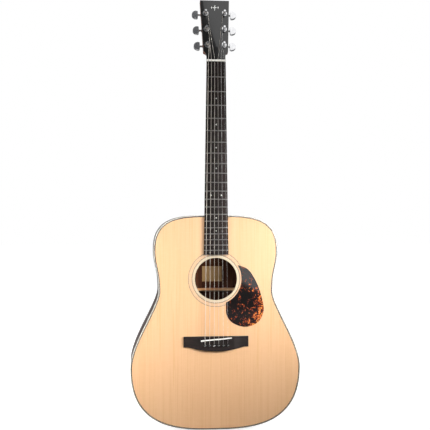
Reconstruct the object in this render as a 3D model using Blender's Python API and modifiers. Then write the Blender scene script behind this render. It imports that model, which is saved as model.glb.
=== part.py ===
"""Steel-string acoustic guitar, upright: neck up +Z, soundboard facing -Y, treble side +X.

The origin is the centre of the strap button's outer face, at the tail. Lengths are metres.
"""

from math import atan2, cos, hypot, pi, radians, sin, tan

import bmesh
import bpy
from mathutils import Matrix, Vector

GAP = 0.0003  # clearance between neighbouring pieces
MERGE = 0.00001  # welding distance for curve caps

# Body shell
BODY_BOTTOM = 0.011  # tail end of the body above the strap button's face
BODY_LENGTH = 0.507
TOP_Y = -0.061  # outer face of the soundboard
DEPTH_AT_TAIL = 0.122
DEPTH_AT_NECK = 0.100
BOARD_THICKNESS = 0.003  # soundboard and back
SIDE_THICKNESS = 0.002
BINDING_WIDTH = 0.0024
BINDING_DEPTH = 0.006
LINING_WIDTH = 0.006
LINING_DEPTH = 0.012
# Half outline, tail to neck: (half width, height, handle below, handle above)
LOWER_BOUT = (0.2020, 0.1465, 0.1496, 0.0579)
WAIST = (0.1354, 0.3285, 0.0367, 0.0498)
UPPER_BOUT = (0.1472, 0.4257, 0.0388, 0.0866)
TAIL_HANDLE = 0.0709
SHOULDER_HANDLE = 0.0679
SPAN_STEPS = (11, 8, 4, 7)
NECK_BLOCK_HALF_WIDTH = 0.035
NECK_BLOCK_LENGTH = 0.060
TAIL_BLOCK_HALF_WIDTH = 0.030
TAIL_BLOCK_LENGTH = 0.020

# Bracing: heights are above the tail end of the body
BRACE_RAMP = 0.020  # length of the sloping ends
BRACE_END_SHARE = 0.35  # height left at the very ends
X_UPPER = (0.113, 0.368)  # distance from the centreline and height of the upper ends
X_LOWER = (0.168, 0.124)
X_WIDTH = 0.008
X_HEIGHT = 0.014
LAP_HALF_LENGTH = 0.030
TONE_BAR_UPPER = (0.070, 0.168)
TONE_BAR_LOWER = (-0.095, 0.078)
TONE_BAR_WIDTH = 0.007
TONE_BAR_HEIGHT = 0.010
TRANSVERSE_HEIGHT = 0.4195
TRANSVERSE_HALF_LENGTH = 0.124
TRANSVERSE_WIDTH = 0.010
TRANSVERSE_DEPTH = 0.019
KEY_NOTCH_HALF = 0.005  # room for the truss rod's key under the transverse brace
KEY_NOTCH_DEPTH = 0.0135
BACK_BRACES = (("back_brace_upper", 0.432, 0.126), ("back_brace_middle", 0.322, 0.120),
               ("back_brace_lower", 0.160, 0.184))  # (name, height, half length)
BACK_BRACE_WIDTH = 0.008
BACK_BRACE_DEPTH = 0.012
BRIDGE_PLATE_LOW = 0.186
BRIDGE_PLATE_HIGH = 0.221
BRIDGE_PLATE_HALF_WIDTH = 0.043
BRIDGE_PLATE_THICKNESS = 0.0025

# Soundhole, rosette and pickguard
HOLE_HEIGHT = 0.3566  # above the tail end of the body
HOLE_RADIUS = 0.050
HOLE_BINDING_WIDTH = 0.0049
ROSETTE_INNER = 0.0565
ROSETTE_OUTER = 0.0658
ROSETTE_DEPTH = 0.0012
PICKGUARD_RADIUS = 0.0595
PICKGUARD_THICKNESS = 0.0008
# Free edge from the soundhole's upper right to below it: (across, up) from the hole's centre
PICKGUARD_EDGE = ((0.0516, 0.0326), (0.0770, 0.0220), (0.0970, -0.0090), (0.1095, -0.0450),
                  (0.1138, -0.0760), (0.1005, -0.1030), (0.0717, -0.1140), (0.0410, -0.1050),
                  (0.0255, -0.0850), (0.0239, -0.0556))

# Strings and fretboard
SCALE_LENGTH = 0.650
NUT_HEIGHT = 0.870  # front edge of the nut above the tail end of the body
NUT_THICKNESS = 0.0047
NUT_WIDTH = 0.045
BOARD_END_HEIGHT = 0.4145
BOARD_END_WIDTH = 0.058
FRETBOARD_THICKNESS = 0.006
FRET_COUNT = 20
FRET_WIDTH = 0.0023
FRET_CROWN = 0.0011
NUT_SPACING = 0.0075
SADDLE_SPACING = 0.0108
LIFT_AT_NUT = 0.0080  # underside of the strings above the soundboard's plane
LIFT_AT_SADDLE = 0.0124
STRING_NAMES = ("low_e", "a", "d", "g", "b", "high_e")
STRING_DIAMETERS = (0.00135, 0.00107, 0.00081, 0.00061, 0.00041, 0.00030)

# Bridge
BRIDGE_TOP_EDGE = 0.2214
BRIDGE_WING_EDGE = 0.1962
WING_EDGE_RISE = 0.0004  # how far the wings narrow towards their ends
BRIDGE_BELLY_EDGE = 0.1858
BRIDGE_HALF_WIDTH = 0.07685
BELLY_HALF_WIDTH = 0.067
BRIDGE_THICKNESS = 0.009
WING_THICKNESS = 0.005
WING_START = 0.047
PIN_HEIGHT = 0.200
PIN_RADIUS = 0.0025
PIN_HOLE_RADIUS = 0.00285
PIN_LENGTH = 0.024
SADDLE_HEIGHT = 0.215
SADDLE_LENGTH = 0.0735
SADDLE_THICKNESS = 0.0027
SADDLE_SLOT_DEPTH = 0.004
SADDLE_SLANT = radians(4.8)
STRING_ANCHOR_OFFSET = 0.0026  # string centre in front of the pin's axis
PIN_SLOT_REACH = 0.0042  # how far each string's slot runs above the pin's axis
END_PIN_BORE_RADIUS = 0.0043

# Neck and headstock
NECK_DEPTH_AT_NUT = 0.0150
NECK_DEPTH_AT_HEEL = 0.0185
HEEL_DEPTH = 0.0950
HEEL_CAP_LENGTH = 0.022
HEEL_SWEEP = 0.048
HEADSTOCK_TILT = radians(14)
HEADSTOCK_LENGTH = 0.1540
HEADSTOCK_THICKNESS = 0.013
HEADSTOCK_BASE_HALF = 0.0293
HEADSTOCK_TOP_HALF = 0.0350
SHOULDER_START = 0.006
SHOULDER_END = 0.021
VENEER_THICKNESS = 0.002
ROD_DEPTH = 0.008  # truss rod axis below the neck's gluing plane
ROD_RADIUS = 0.0025
ROD_CHANNEL_HALF = 0.0031
ROD_TOP = 0.858
ROD_END = 0.4425
ROD_NUT_RADIUS = 0.0042
ROD_NUT_LENGTH = 0.012
KEY_SOCKET_RADIUS = 0.0026
KEY_SOCKET_DEPTH = 0.007
BREAK_BEHIND_NUT = 0.005  # from the nut's front edge to the headstock's break line
HEEL_NARROWING = 0.42  # share of the width the heel loses at its cap
RING_ARC = 12  # divisions of a neck section's back

# Tuning machines, measured from the post's axis in the headstock's own frame
POST_DISTANCES = (0.0374, 0.0786, 0.1198)
POST_HALF_SPREADS = (0.0194, 0.0210, 0.0226)
POST_RADIUS = 0.003
POST_TOP = 0.0173
SLEEVE_RADIUS = 0.0047
WASHER_RADIUS = 0.0070
WASHER_THICKNESS = 0.0008
HEX_NUT_RADIUS = 0.0056
HEX_NUT_TOP = 0.0036
BORE_RADIUS = 0.0050
GEAR_TEETH = 14
GEAR_RADIUS = 0.0039
GEAR_ROOT = 0.0033
GEAR_HALF_THICKNESS = 0.0025
WORM_OFFSET = 0.0068
WORM_DEPTH = -0.0215
WORM_RADIUS = 0.0025
WORM_CORE_RADIUS = 0.0020
HOUSING_HALF = 0.0082
HOUSING_LOW = -0.0080
HOUSING_HIGH = 0.0124
HOUSING_BACK = -0.0276
HOUSING_WALL = 0.0012
HOUSING_EDGE = 0.0015
HOUSING_DOOR_RADIUS = 0.0024
KNOB_INNER = 0.0169
KNOB_OUTER = 0.0313
KNOB_HALF_HEIGHT = 0.0098
KNOB_HALF_THICKNESS = 0.0042
KNOB_EDGE = 0.0013
STRING_WRAP_HEIGHT = 0.0088

TAPER = (DEPTH_AT_TAIL - DEPTH_AT_NECK) / BODY_LENGTH
BRACE_FACE = TOP_Y + BOARD_THICKNESS + GAP
# Takes a flat outline (across, up, depth) to the world: up becomes +Z, depth becomes -Y.
UPRIGHT = Matrix.Rotation(pi / 2, 4, "X")


# ---------------------------------------------------------------- scene helpers

def clear_scene():
    for thing in list(bpy.data.objects):
        bpy.data.objects.remove(thing, do_unlink=True)


def new_collection(name):
    group = bpy.data.collections.new(name)
    bpy.context.scene.collection.children.link(group)
    return group


def material(name, color, roughness, metallic=0.0):
    mat = bpy.data.materials.new(name)
    mat.use_nodes = True
    shader = mat.node_tree.nodes["Principled BSDF"]
    shader.inputs["Base Color"].default_value = (*color, 1.0)
    shader.inputs["Roughness"].default_value = roughness
    shader.inputs["Metallic"].default_value = metallic
    mat.diffuse_color = (*color, 1.0)
    return mat


def shade_round(mesh, angle=35):
    mesh.shade_smooth()
    mesh.set_sharp_from_angle(angle=radians(angle))


def add_part(name, mesh, mat, matrix=None):
    part = bpy.data.objects.new(name, mesh)
    PARTS.objects.link(part)
    if not mesh.materials:
        mesh.materials.append(MATERIALS[mat])
    if matrix is not None:
        part.matrix_world = matrix
    return part


def add_cutter(name, mesh, matrix=None):
    cutter = bpy.data.objects.new(name, mesh)
    CUTTERS.objects.link(cutter)
    cutter.hide_render = True
    cutter.display_type = "WIRE"
    if matrix is not None:
        cutter.matrix_world = matrix
    return cutter


def boolean(part, cutter, operation="DIFFERENCE"):
    mod = part.modifiers.new(operation.lower(), "BOOLEAN")
    mod.operation = operation
    mod.solver = "EXACT"
    mod.object = cutter


def evaluated_mesh(thing):
    """The object's mesh with its modifiers applied, welded and facing outwards."""
    bpy.context.view_layer.update()
    graph = bpy.context.evaluated_depsgraph_get()
    mesh = bpy.data.meshes.new_from_object(thing.evaluated_get(graph), depsgraph=graph)
    bm = bmesh.new()
    bm.from_mesh(mesh)
    bmesh.ops.remove_doubles(bm, verts=bm.verts, dist=MERGE)
    bmesh.ops.recalc_face_normals(bm, faces=bm.faces)
    bm.to_mesh(mesh)
    bm.free()
    return mesh


def finished_mesh(bm, name):
    bmesh.ops.recalc_face_normals(bm, faces=bm.faces)
    mesh = bpy.data.meshes.new(name)
    bm.to_mesh(mesh)
    bm.free()
    return mesh


# ---------------------------------------------------------------- shape helpers

def outline_mesh(name, loops, thickness):
    """A flat sheet filled inside the first loop, with the other loops as holes."""
    curve = bpy.data.curves.new(name, "CURVE")
    curve.dimensions = "2D"
    curve.fill_mode = "BOTH"
    curve.extrude = thickness / 2
    for loop in loops:
        spline = curve.splines.new("POLY")
        spline.points.add(len(loop) - 1)
        for point, (across, up) in zip(spline.points, loop):
            point.co = (across, up, 0, 1)
        spline.use_cyclic_u = True
    sheet = bpy.data.objects.new(name, curve)
    bpy.context.scene.collection.objects.link(sheet)
    mesh = evaluated_mesh(sheet)
    bpy.data.objects.remove(sheet)
    return mesh


def upright_plate(name, loops, front, thickness, follows_back=False):
    """A plate parallel to the soundboard, or sheared to lie parallel to the tapering back."""
    mesh = outline_mesh(name, loops, thickness)
    place = Matrix.Translation((0, front + thickness / 2, 0)) @ UPRIGHT
    mesh.transform(place)
    if follows_back:
        shear = Matrix.Identity(4)
        shear[1][2] = -TAPER
        shear[1][3] = TAPER * BODY_BOTTOM
        mesh.transform(shear)
    return mesh


def box_mesh(name, low, high):
    bm = bmesh.new()
    size = Vector(high) - Vector(low)
    centre = (Vector(high) + Vector(low)) / 2
    place = Matrix.Translation(centre) @ Matrix.Diagonal((*size, 1))
    bmesh.ops.create_cube(bm, size=1, matrix=place)
    return finished_mesh(bm, name)


def cylinder_mesh(name, radius, start, end, segments=16):
    """A plain cylinder from start to end."""
    start = Vector(start)
    axis = Vector(end) - start
    turn = axis.to_track_quat("Z", "Y").to_matrix().to_4x4()
    place = Matrix.Translation(start + axis / 2) @ turn
    bm = bmesh.new()
    bmesh.ops.create_cone(bm, cap_ends=True, segments=segments, radius1=radius,
                          radius2=radius, depth=axis.length, matrix=place)
    return finished_mesh(bm, name)


def joined_mesh(name, meshes):
    bm = bmesh.new()
    for mesh in meshes:
        bm.from_mesh(mesh)
    return finished_mesh(bm, name)


def turned_mesh(name, profile, steps, closed=False):
    """A solid turned about Z from (radius, height) points."""
    bm = bmesh.new()
    verts = [bm.verts.new((radius, 0, height)) for radius, height in profile]
    for first, second in zip(verts, verts[1:]):
        bm.edges.new((first, second))
    if closed:
        bm.edges.new((verts[-1], verts[0]))
    mesh = bpy.data.meshes.new(name)
    bm.to_mesh(mesh)
    bm.free()
    spun = bpy.data.objects.new(name, mesh)
    bpy.context.scene.collection.objects.link(spun)
    mod = spun.modifiers.new("turn", "SCREW")
    mod.steps = steps
    mod.render_steps = steps
    mod.use_merge_vertices = True
    mod.merge_threshold = MERGE
    result = evaluated_mesh(spun)
    bpy.data.objects.remove(spun)
    shade_round(result)
    return result


def loft_mesh(name, rings):
    """Skin closed rings that all have the same number of points, and cap both ends."""
    bm = bmesh.new()
    rows = [[bm.verts.new(point) for point in ring] for ring in rings]
    count = len(rows[0])
    for lower, upper in zip(rows, rows[1:]):
        for i in range(count):
            j = (i + 1) % count
            bm.faces.new((lower[i], lower[j], upper[j], upper[i]))
    bm.faces.new(rows[0])
    bm.faces.new(rows[-1])
    return finished_mesh(bm, name)


def circle(radius, centre=(0.0, 0.0), count=40):
    return [(centre[0] + radius * cos(2 * pi * i / count),
             centre[1] + radius * sin(2 * pi * i / count)) for i in range(count)]


def smooth_through(points, steps):
    """A Catmull-Rom curve through an open list of points."""
    padded = [points[0], *points, points[-1]]
    result = []
    for p0, p1, p2, p3 in zip(padded, padded[1:], padded[2:], padded[3:]):
        for i in range(steps):
            t = i / steps
            result.append(tuple(
                0.5 * (2 * b + (c - a) * t + (2 * a - 5 * b + 4 * c - d) * t * t
                       + (3 * b - a - 3 * c + d) * t ** 3)
                for a, b, c, d in zip(p0, p1, p2, p3)))
    result.append(tuple(points[-1]))
    return result


# ---------------------------------------------------------------- body outline

def above_tail(height):
    return BODY_BOTTOM + height


def back_y(z):
    """Outer face of the back at world height z."""
    return TOP_Y + DEPTH_AT_TAIL - TAPER * (z - BODY_BOTTOM)


def outline_spans():
    """The four cubic spans of the treble half outline, tail to neck."""
    spans = []
    start, handle = (0.0, 0.0), (TAIL_HANDLE, 0.0)
    for width, height, below, above in (LOWER_BOUT, WAIST, UPPER_BOUT):
        spans.append((start, handle, (width, height - below), (width, height)))
        start, handle = (width, height), (width, height + above)
    top = (0.0, BODY_LENGTH)
    spans.append((start, handle, (SHOULDER_HANDLE, BODY_LENGTH), top))
    return spans


def half_outline(inset=0.0):
    """Points of the treble half outline moved inwards by inset, tail centre to neck centre."""
    points = []
    spans = outline_spans()
    for number, ((a, b, c, d), steps) in enumerate(zip(spans, SPAN_STEPS)):
        last = number == len(spans) - 1
        for i in range(steps + (1 if last else 0)):
            t = i / steps
            u = 1 - t
            x, z = (u ** 3 * p + 3 * u * u * t * q + 3 * u * t * t * r + t ** 3 * s
                    for p, q, r, s in zip(a, b, c, d))
            dx, dz = (u * u * (q - p) + 2 * u * t * (r - q) + t * t * (s - r)
                      for p, q, r, s in zip(a, b, c, d))
            length = hypot(dx, dz)
            points.append((x - inset * dz / length, above_tail(z + inset * dx / length)))
    return points


def full_outline(inset=0.0):
    half = half_outline(inset)
    mirrored = [(-x, z) for x, z in reversed(half[1:-1])]
    return half + mirrored


# ---------------------------------------------------------------- body shell

def hole_centre():
    return (0.0, above_tail(HOLE_HEIGHT))


def make_soundboard():
    rim = full_outline(BINDING_WIDTH + GAP)
    hole = circle(HOLE_RADIUS + HOLE_BINDING_WIDTH + GAP, hole_centre())
    mesh = upright_plate("soundboard", [rim, hole], TOP_Y, BOARD_THICKNESS)
    part = add_part("soundboard", mesh, "spruce")
    groove = [circle(ROSETTE_OUTER + GAP, hole_centre()),
              circle(ROSETTE_INNER - GAP, hole_centre())]
    depth = ROSETTE_DEPTH + GAP
    cutter = upright_plate("rosette_groove", groove, TOP_Y - depth, 2 * depth)
    boolean(part, add_cutter("rosette_groove", cutter))
    boolean(part, PIN_HOLES)
    boolean(part, PIN_SLOTS)


def make_back_plate():
    rim = full_outline(BINDING_WIDTH + GAP)
    front = TOP_Y + DEPTH_AT_TAIL - BOARD_THICKNESS
    mesh = upright_plate("back_plate", [rim], front, BOARD_THICKNESS, follows_back=True)
    add_part("back_plate", mesh, "rosewood")


def make_side(name, hand):
    """One bent side, a ribbon along the half outline thickened inwards."""
    points = half_outline()
    points[0] = (GAP / 2, points[0][1])
    points[-1] = (GAP / 2, points[-1][1])
    bm = bmesh.new()
    rows = []
    for x, z in points:
        front = bm.verts.new((hand * x, TOP_Y + BINDING_DEPTH + GAP, z))
        back = bm.verts.new((hand * x, back_y(z) - BINDING_DEPTH - GAP, z))
        rows.append((front, back))
    for (f1, b1), (f2, b2) in zip(rows, rows[1:]):
        bm.faces.new((f1, b1, b2, f2) if hand > 0 else (f1, f2, b2, b1))
    mesh = bpy.data.meshes.new(name)
    bm.to_mesh(mesh)
    bm.free()
    part = add_part(name, mesh, "rosewood")
    shell = part.modifiers.new("shell", "SOLIDIFY")
    shell.thickness = SIDE_THICKNESS
    shell.offset = -1
    shell.use_even_offset = True
    boolean(part, ROD_CHANNEL)
    boolean(part, END_PIN_BORE)


def make_ring(name, mat, outer, inner, front, thickness, follows_back, channelled):
    """A strip that runs all round the body between two insets of its outline."""
    loops = [full_outline(outer), full_outline(inner)]
    mesh = upright_plate(name, loops, front, thickness, follows_back)
    part = add_part(name, mesh, mat)
    if channelled:
        boolean(part, ROD_CHANNEL)


def make_rings():
    lining_outer = SIDE_THICKNESS + GAP
    lining_inner = lining_outer + LINING_WIDTH
    back_face = TOP_Y + DEPTH_AT_TAIL
    make_ring("top_binding", "binding_cream", 0.0, BINDING_WIDTH, TOP_Y, BINDING_DEPTH,
              False, True)
    make_ring("back_binding", "binding_cream", 0.0, BINDING_WIDTH,
              back_face - BINDING_DEPTH, BINDING_DEPTH, True, False)
    inside = max(lining_outer, BINDING_WIDTH + GAP)
    make_ring("top_lining", "spruce", inside, lining_inner,
              TOP_Y + BOARD_THICKNESS + GAP, LINING_DEPTH, False, True)
    make_ring("back_lining", "spruce", inside, lining_inner,
              back_face - BOARD_THICKNESS - GAP - LINING_DEPTH, LINING_DEPTH, True, False)


def make_block(name, half_width, wall_z, reach, bore):
    """A glued block at one end of the body, rebated around both linings."""
    inward = 1 if reach > 0 else -1
    step_z = wall_z + inward * (LINING_WIDTH + 2 * GAP)
    end_z = wall_z + reach
    front = TOP_Y + BOARD_THICKNESS + GAP
    front_step = front + LINING_DEPTH + GAP
    inset = BOARD_THICKNESS + GAP
    back_step = inset + LINING_DEPTH + GAP
    profile = [(front_step, wall_z), (back_y(wall_z) - back_step, wall_z),
               (back_y(step_z) - back_step, step_z), (back_y(step_z) - inset, step_z),
               (back_y(end_z) - inset, end_z), (front, end_z), (front, step_z),
               (front_step, step_z)]
    rings = [[(x, y, z) for y, z in profile] for x in (-half_width, half_width)]
    part = add_part(name, loft_mesh(name, rings), "mahogany")
    boolean(part, bore)


def make_blocks():
    wall = SIDE_THICKNESS + 2 * GAP
    make_block("neck_block", NECK_BLOCK_HALF_WIDTH, above_tail(BODY_LENGTH - wall),
               -NECK_BLOCK_LENGTH, ROD_CHANNEL)
    make_block("tail_block", TAIL_BLOCK_HALF_WIDTH, above_tail(wall), TAIL_BLOCK_LENGTH,
               END_PIN_BORE)


# ---------------------------------------------------------------- bracing

def bar_mesh(name, start, end, width, height, face, direction, slope=0.0):
    """A brace with sloping ends, standing from a plate's inner face."""
    (x1, z1), (x2, z2) = start, end
    length = hypot(x2 - x1, z2 - z1)
    ramp = min(BRACE_RAMP, length / 4)
    low = height * BRACE_END_SHARE
    profile = [(-length / 2, 0), (length / 2, 0), (length / 2, low),
               (length / 2 - ramp, height), (ramp - length / 2, height), (-length / 2, low)]
    mesh = outline_mesh(name, [profile], width)
    along = Vector((x2 - x1, -slope * (z2 - z1), z2 - z1)).normalized()
    rise = Vector((0, direction, direction * slope)).normalized()
    rise = (rise - rise.dot(along) * along).normalized()
    sideways = along.cross(rise)
    centre = Vector(((x1 + x2) / 2, face, (z1 + z2) / 2))
    frame = Matrix((along, rise, sideways)).transposed().to_4x4()
    frame.translation = centre
    mesh.transform(frame)
    return mesh


def x_brace_ends(hand):
    return ((hand * X_UPPER[0], above_tail(X_UPPER[1])),
            (-hand * X_LOWER[0], above_tail(X_LOWER[1])))


def half_lap(name, hand, low, high):
    """A cutter along the opposite brace, between two heights, for the lap at the crossing."""
    start, end = x_brace_ends(-hand)
    angle = atan2(end[1] - start[1], end[0] - start[0])
    half = X_WIDTH / 2 + GAP
    mesh = box_mesh(name, (-LAP_HALF_LENGTH, low, -half), (LAP_HALF_LENGTH, high, half))
    crossing = lap_point()
    place = Matrix.Translation((crossing[0], BRACE_FACE, crossing[1]))
    mesh.transform(place @ Matrix.Rotation(-angle, 4, "Y"))
    return add_cutter(name, mesh)


def lap_point():
    """Where the two braces cross, on the centreline."""
    (x1, z1), (x2, z2) = x_brace_ends(1)
    return (0.0, z1 + (z2 - z1) * x1 / (x1 - x2))


def make_x_braces():
    for name, hand, low, high in (("x_brace_bass", -1, X_HEIGHT / 2, X_HEIGHT + 0.001),
                                  ("x_brace_treble", 1, -0.001, X_HEIGHT / 2 + GAP)):
        start, end = x_brace_ends(hand)
        mesh = bar_mesh(name, start, end, X_WIDTH, X_HEIGHT, BRACE_FACE, 1)
        part = add_part(name, mesh, "spruce")
        boolean(part, half_lap(name + "_lap", hand, low, high))


def make_tone_bar():
    start = (TONE_BAR_UPPER[0], above_tail(TONE_BAR_UPPER[1]))
    end = (TONE_BAR_LOWER[0], above_tail(TONE_BAR_LOWER[1]))
    mesh = bar_mesh("tone_bar", start, end, TONE_BAR_WIDTH, TONE_BAR_HEIGHT, BRACE_FACE, 1)
    add_part("tone_bar", mesh, "spruce")


def make_transverse_brace():
    height = above_tail(TRANSVERSE_HEIGHT)
    reach = TRANSVERSE_HALF_LENGTH
    mesh = bar_mesh("transverse_brace", (-reach, height), (reach, height), TRANSVERSE_WIDTH,
                    TRANSVERSE_DEPTH, BRACE_FACE, 1)
    part = add_part("transverse_brace", mesh, "spruce")
    notch = box_mesh("key_notch", (-KEY_NOTCH_HALF, TOP_Y, height - TRANSVERSE_WIDTH),
                     (KEY_NOTCH_HALF, TOP_Y + KEY_NOTCH_DEPTH, height + TRANSVERSE_WIDTH))
    boolean(part, add_cutter("key_notch", notch))


def make_bridge_plate():
    low = above_tail(BRIDGE_PLATE_LOW)
    high = above_tail(BRIDGE_PLATE_HIGH)
    half = BRIDGE_PLATE_HALF_WIDTH
    corners = [(-half, low), (half, low), (half, high), (-half, high)]
    mesh = upright_plate("bridge_plate", [corners], BRACE_FACE, BRIDGE_PLATE_THICKNESS)
    part = add_part("bridge_plate", mesh, "maple")
    boolean(part, PIN_HOLES)
    boolean(part, PIN_SLOTS)


def make_back_braces():
    for name, height, reach in BACK_BRACES:
        z = above_tail(height)
        face = back_y(z) - BOARD_THICKNESS - GAP
        mesh = bar_mesh(name, (-reach, z), (reach, z), BACK_BRACE_WIDTH, BACK_BRACE_DEPTH, face,
                        -1, TAPER)
        add_part(name, mesh, "spruce")


# ---------------------------------------------------------------- top fittings

def make_rosette():
    loops = [circle(ROSETTE_OUTER, hole_centre()), circle(ROSETTE_INNER, hole_centre())]
    add_part("rosette", upright_plate("rosette", loops, TOP_Y, ROSETTE_DEPTH), "rosette_wood")
    loops = [circle(HOLE_RADIUS + HOLE_BINDING_WIDTH, hole_centre()),
             circle(HOLE_RADIUS, hole_centre())]
    mesh = upright_plate("soundhole_binding", loops, TOP_Y, BOARD_THICKNESS)
    add_part("soundhole_binding", mesh, "binding_cream")


def make_pickguard():
    """A teardrop plate: a free outer edge and an arc concentric with the soundhole."""
    edge = smooth_through(PICKGUARD_EDGE, 3)
    first = atan2(*reversed(PICKGUARD_EDGE[-1]))
    last = atan2(*reversed(PICKGUARD_EDGE[0]))
    steps = 10
    arc = [(PICKGUARD_RADIUS * cos(first + (last - first) * i / steps),
            PICKGUARD_RADIUS * sin(first + (last - first) * i / steps))
           for i in range(1, steps)]
    centre = hole_centre()
    loop = [(x, z + centre[1]) for x, z in edge + arc]
    front = TOP_Y - GAP - PICKGUARD_THICKNESS
    add_part("pickguard", upright_plate("pickguard", [loop], front, PICKGUARD_THICKNESS),
             "tortoise_plastic")


def string_x(number, spacing):
    return (number - 2.5) * spacing


def bridge_outline():
    """Straight top edge, square wing ends and a belly that swells below the pins."""
    steps = 8
    belly = []
    for i in range(steps):
        x = BELLY_HALF_WIDTH * (1 - i / steps)
        swell = 1 - (x / BELLY_HALF_WIDTH) ** 2
        belly.append((x, BRIDGE_WING_EDGE + (BRIDGE_BELLY_EDGE - BRIDGE_WING_EDGE) * swell))
    half = [(BRIDGE_HALF_WIDTH, BRIDGE_TOP_EDGE),
            (BRIDGE_HALF_WIDTH, BRIDGE_WING_EDGE + WING_EDGE_RISE)] + belly
    mirrored = [(-x, z) for x, z in reversed(half)]
    return [(x, above_tail(z)) for x, z in half + mirrored]


def bridge_front():
    return TOP_Y - GAP - BRIDGE_THICKNESS


def slanted_box(name, length, thickness, low, high):
    """A box along the saddle's slanted line, between two heights above the soundboard."""
    mesh = box_mesh(name, (-length / 2, TOP_Y - high, -thickness / 2),
                    (length / 2, TOP_Y - low, thickness / 2))
    place = Matrix.Translation((0, 0, above_tail(SADDLE_HEIGHT)))
    mesh.transform(place @ Matrix.Rotation(-SADDLE_SLANT, 4, "Y"))
    return mesh


def make_bridge():
    mesh = upright_plate("bridge", [bridge_outline()], bridge_front(), BRIDGE_THICKNESS)
    part = add_part("bridge", mesh, "ebony")
    front = bridge_front() - 0.001
    wing = TOP_Y - GAP - WING_THICKNESS
    low = above_tail(BRIDGE_BELLY_EDGE) - 0.01
    high = above_tail(BRIDGE_TOP_EDGE) + 0.01
    for name, hand in (("wing_bass", -1), ("wing_treble", 1)):
        edges = sorted((hand * WING_START, hand * (BRIDGE_HALF_WIDTH + 0.01)))
        boolean(part, add_cutter(name, box_mesh(name, (edges[0], front, low),
                                                (edges[1], wing, high))))
    slot_floor = GAP + BRIDGE_THICKNESS - SADDLE_SLOT_DEPTH
    slot = slanted_box("saddle_slot", SADDLE_LENGTH + 2 * GAP, SADDLE_THICKNESS + 2 * GAP,
                       slot_floor, BRIDGE_THICKNESS + 0.002)
    boolean(part, add_cutter("saddle_slot", slot))
    boolean(part, PIN_HOLES)
    boolean(part, PIN_SLOTS)
    saddle = slanted_box("saddle", SADDLE_LENGTH, SADDLE_THICKNESS, slot_floor + GAP,
                         LIFT_AT_SADDLE - GAP)
    add_part("saddle", saddle, "bone")


def pin_cutters():
    """Round pin holes and the string slots beside them, through bridge, top and plate."""
    front = bridge_front() - 0.002
    back = TOP_Y + 0.010
    holes = []
    slots = []
    for number in range(6):
        x = string_x(number, SADDLE_SPACING)
        z = above_tail(PIN_HEIGHT)
        holes.append(cylinder_mesh("hole", PIN_HOLE_RADIUS, (x, front, z), (x, back, z)))
        half = STRING_DIAMETERS[number] / 2 + GAP
        slots.append(box_mesh("slot", (x - half, front, z),
                              (x + half, back, z + PIN_SLOT_REACH)))
    return (add_cutter("pin_holes", joined_mesh("pin_holes", holes)),
            add_cutter("pin_slots", joined_mesh("pin_slots", slots)))


def make_bridge_pins():
    head_base = BRIDGE_THICKNESS + 2 * GAP
    radius = PIN_RADIUS
    profile = [(0, head_base + 0.0034), (0.0022, head_base + 0.0030),
               (0.0038, head_base + 0.0016), (0.0038, head_base), (radius, head_base),
               (radius, head_base - 0.010), (radius * 0.86, head_base - PIN_LENGTH),
               (0, head_base - PIN_LENGTH)]
    for number, string in enumerate(STRING_NAMES):
        x = string_x(number, SADDLE_SPACING)
        mesh = turned_mesh("pin_" + string, profile, 12)
        groove = STRING_DIAMETERS[number] / 2 + GAP
        inner = STRING_ANCHOR_OFFSET - groove
        cutter = box_mesh("groove_" + string, (-groove, inner, -0.03), (groove, 0.006, 0.03))
        place = Matrix.Translation((x, TOP_Y, above_tail(PIN_HEIGHT))) @ UPRIGHT
        part = add_part("bridge_pin_" + string, mesh, "pin_plastic", place)
        boolean(part, add_cutter("groove_" + string, cutter, place))


def make_strap_button():
    """A turned end pin whose stem sits in the tail block."""
    profile = [(0, 0), (0.0055, 0), (0.0070, 0.0012), (0.0070, 0.0026), (0.0042, 0.0048),
               (0.0042, 0.0072), (0.0062, BODY_BOTTOM - GAP), (0.0040, BODY_BOTTOM - GAP),
               (0.0034, 0.030), (0, 0.030)]
    mesh = turned_mesh("strap_button", profile[::-1], 16)
    add_part("strap_button", mesh, "pin_plastic")


# ---------------------------------------------------------------- neck

def board_half_width(z):
    """Half width of the fretboard and neck at world height z."""
    share = (above_tail(NUT_HEIGHT) - z) / (NUT_HEIGHT - BOARD_END_HEIGHT)
    return (NUT_WIDTH + (BOARD_END_WIDTH - NUT_WIDTH) * share) / 2


def headstock_half_width(distance):
    """Half width of the headstock at a distance above its break line."""
    base = NUT_WIDTH / 2
    if distance <= SHOULDER_START:
        return base
    if distance < SHOULDER_END:
        share = (distance - SHOULDER_START) / (SHOULDER_END - SHOULDER_START)
        swell = 1 - (1 - share ** 2.4) ** 0.75
        return base + (HEADSTOCK_BASE_HALF - base) * swell
    share = (distance - SHOULDER_END) / (HEADSTOCK_LENGTH - SHOULDER_END)
    return HEADSTOCK_BASE_HALF + (HEADSTOCK_TOP_HALF - HEADSTOCK_BASE_HALF) * share


def headstock_frame():
    """Axes across, up the face and out of the face, from the break line behind the nut."""
    across = Vector((1, 0, 0))
    upward = Vector((0, sin(HEADSTOCK_TILT), cos(HEADSTOCK_TILT)))
    outward = across.cross(upward)
    frame = Matrix((across, upward, outward)).transposed().to_4x4()
    frame.translation = (0, TOP_Y, above_tail(NUT_HEIGHT) + BREAK_BEHIND_NUT)
    return frame


def section(half, depth, power=1.0, squareness=0.0, narrowing=0.0):
    """(across, depth) points of a neck section: flat front edge, rounded or square back."""
    points = []
    for i in range(RING_ARC + 1):
        angle = pi * i / RING_ARC
        x = half * cos(angle)
        y = depth * sin(angle) ** power
        side = (RING_ARC / 2 - i) / (RING_ARC / 2)
        square_x = half * max(-1, min(1, 2 * side))
        square_y = depth * min(1, 2 * (1 - abs(side)))
        x = x + (square_x - x) * squareness
        y = y + (square_y - y) * squareness
        points.append((x * (1 - narrowing * y / HEEL_DEPTH), y))
    return points


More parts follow.
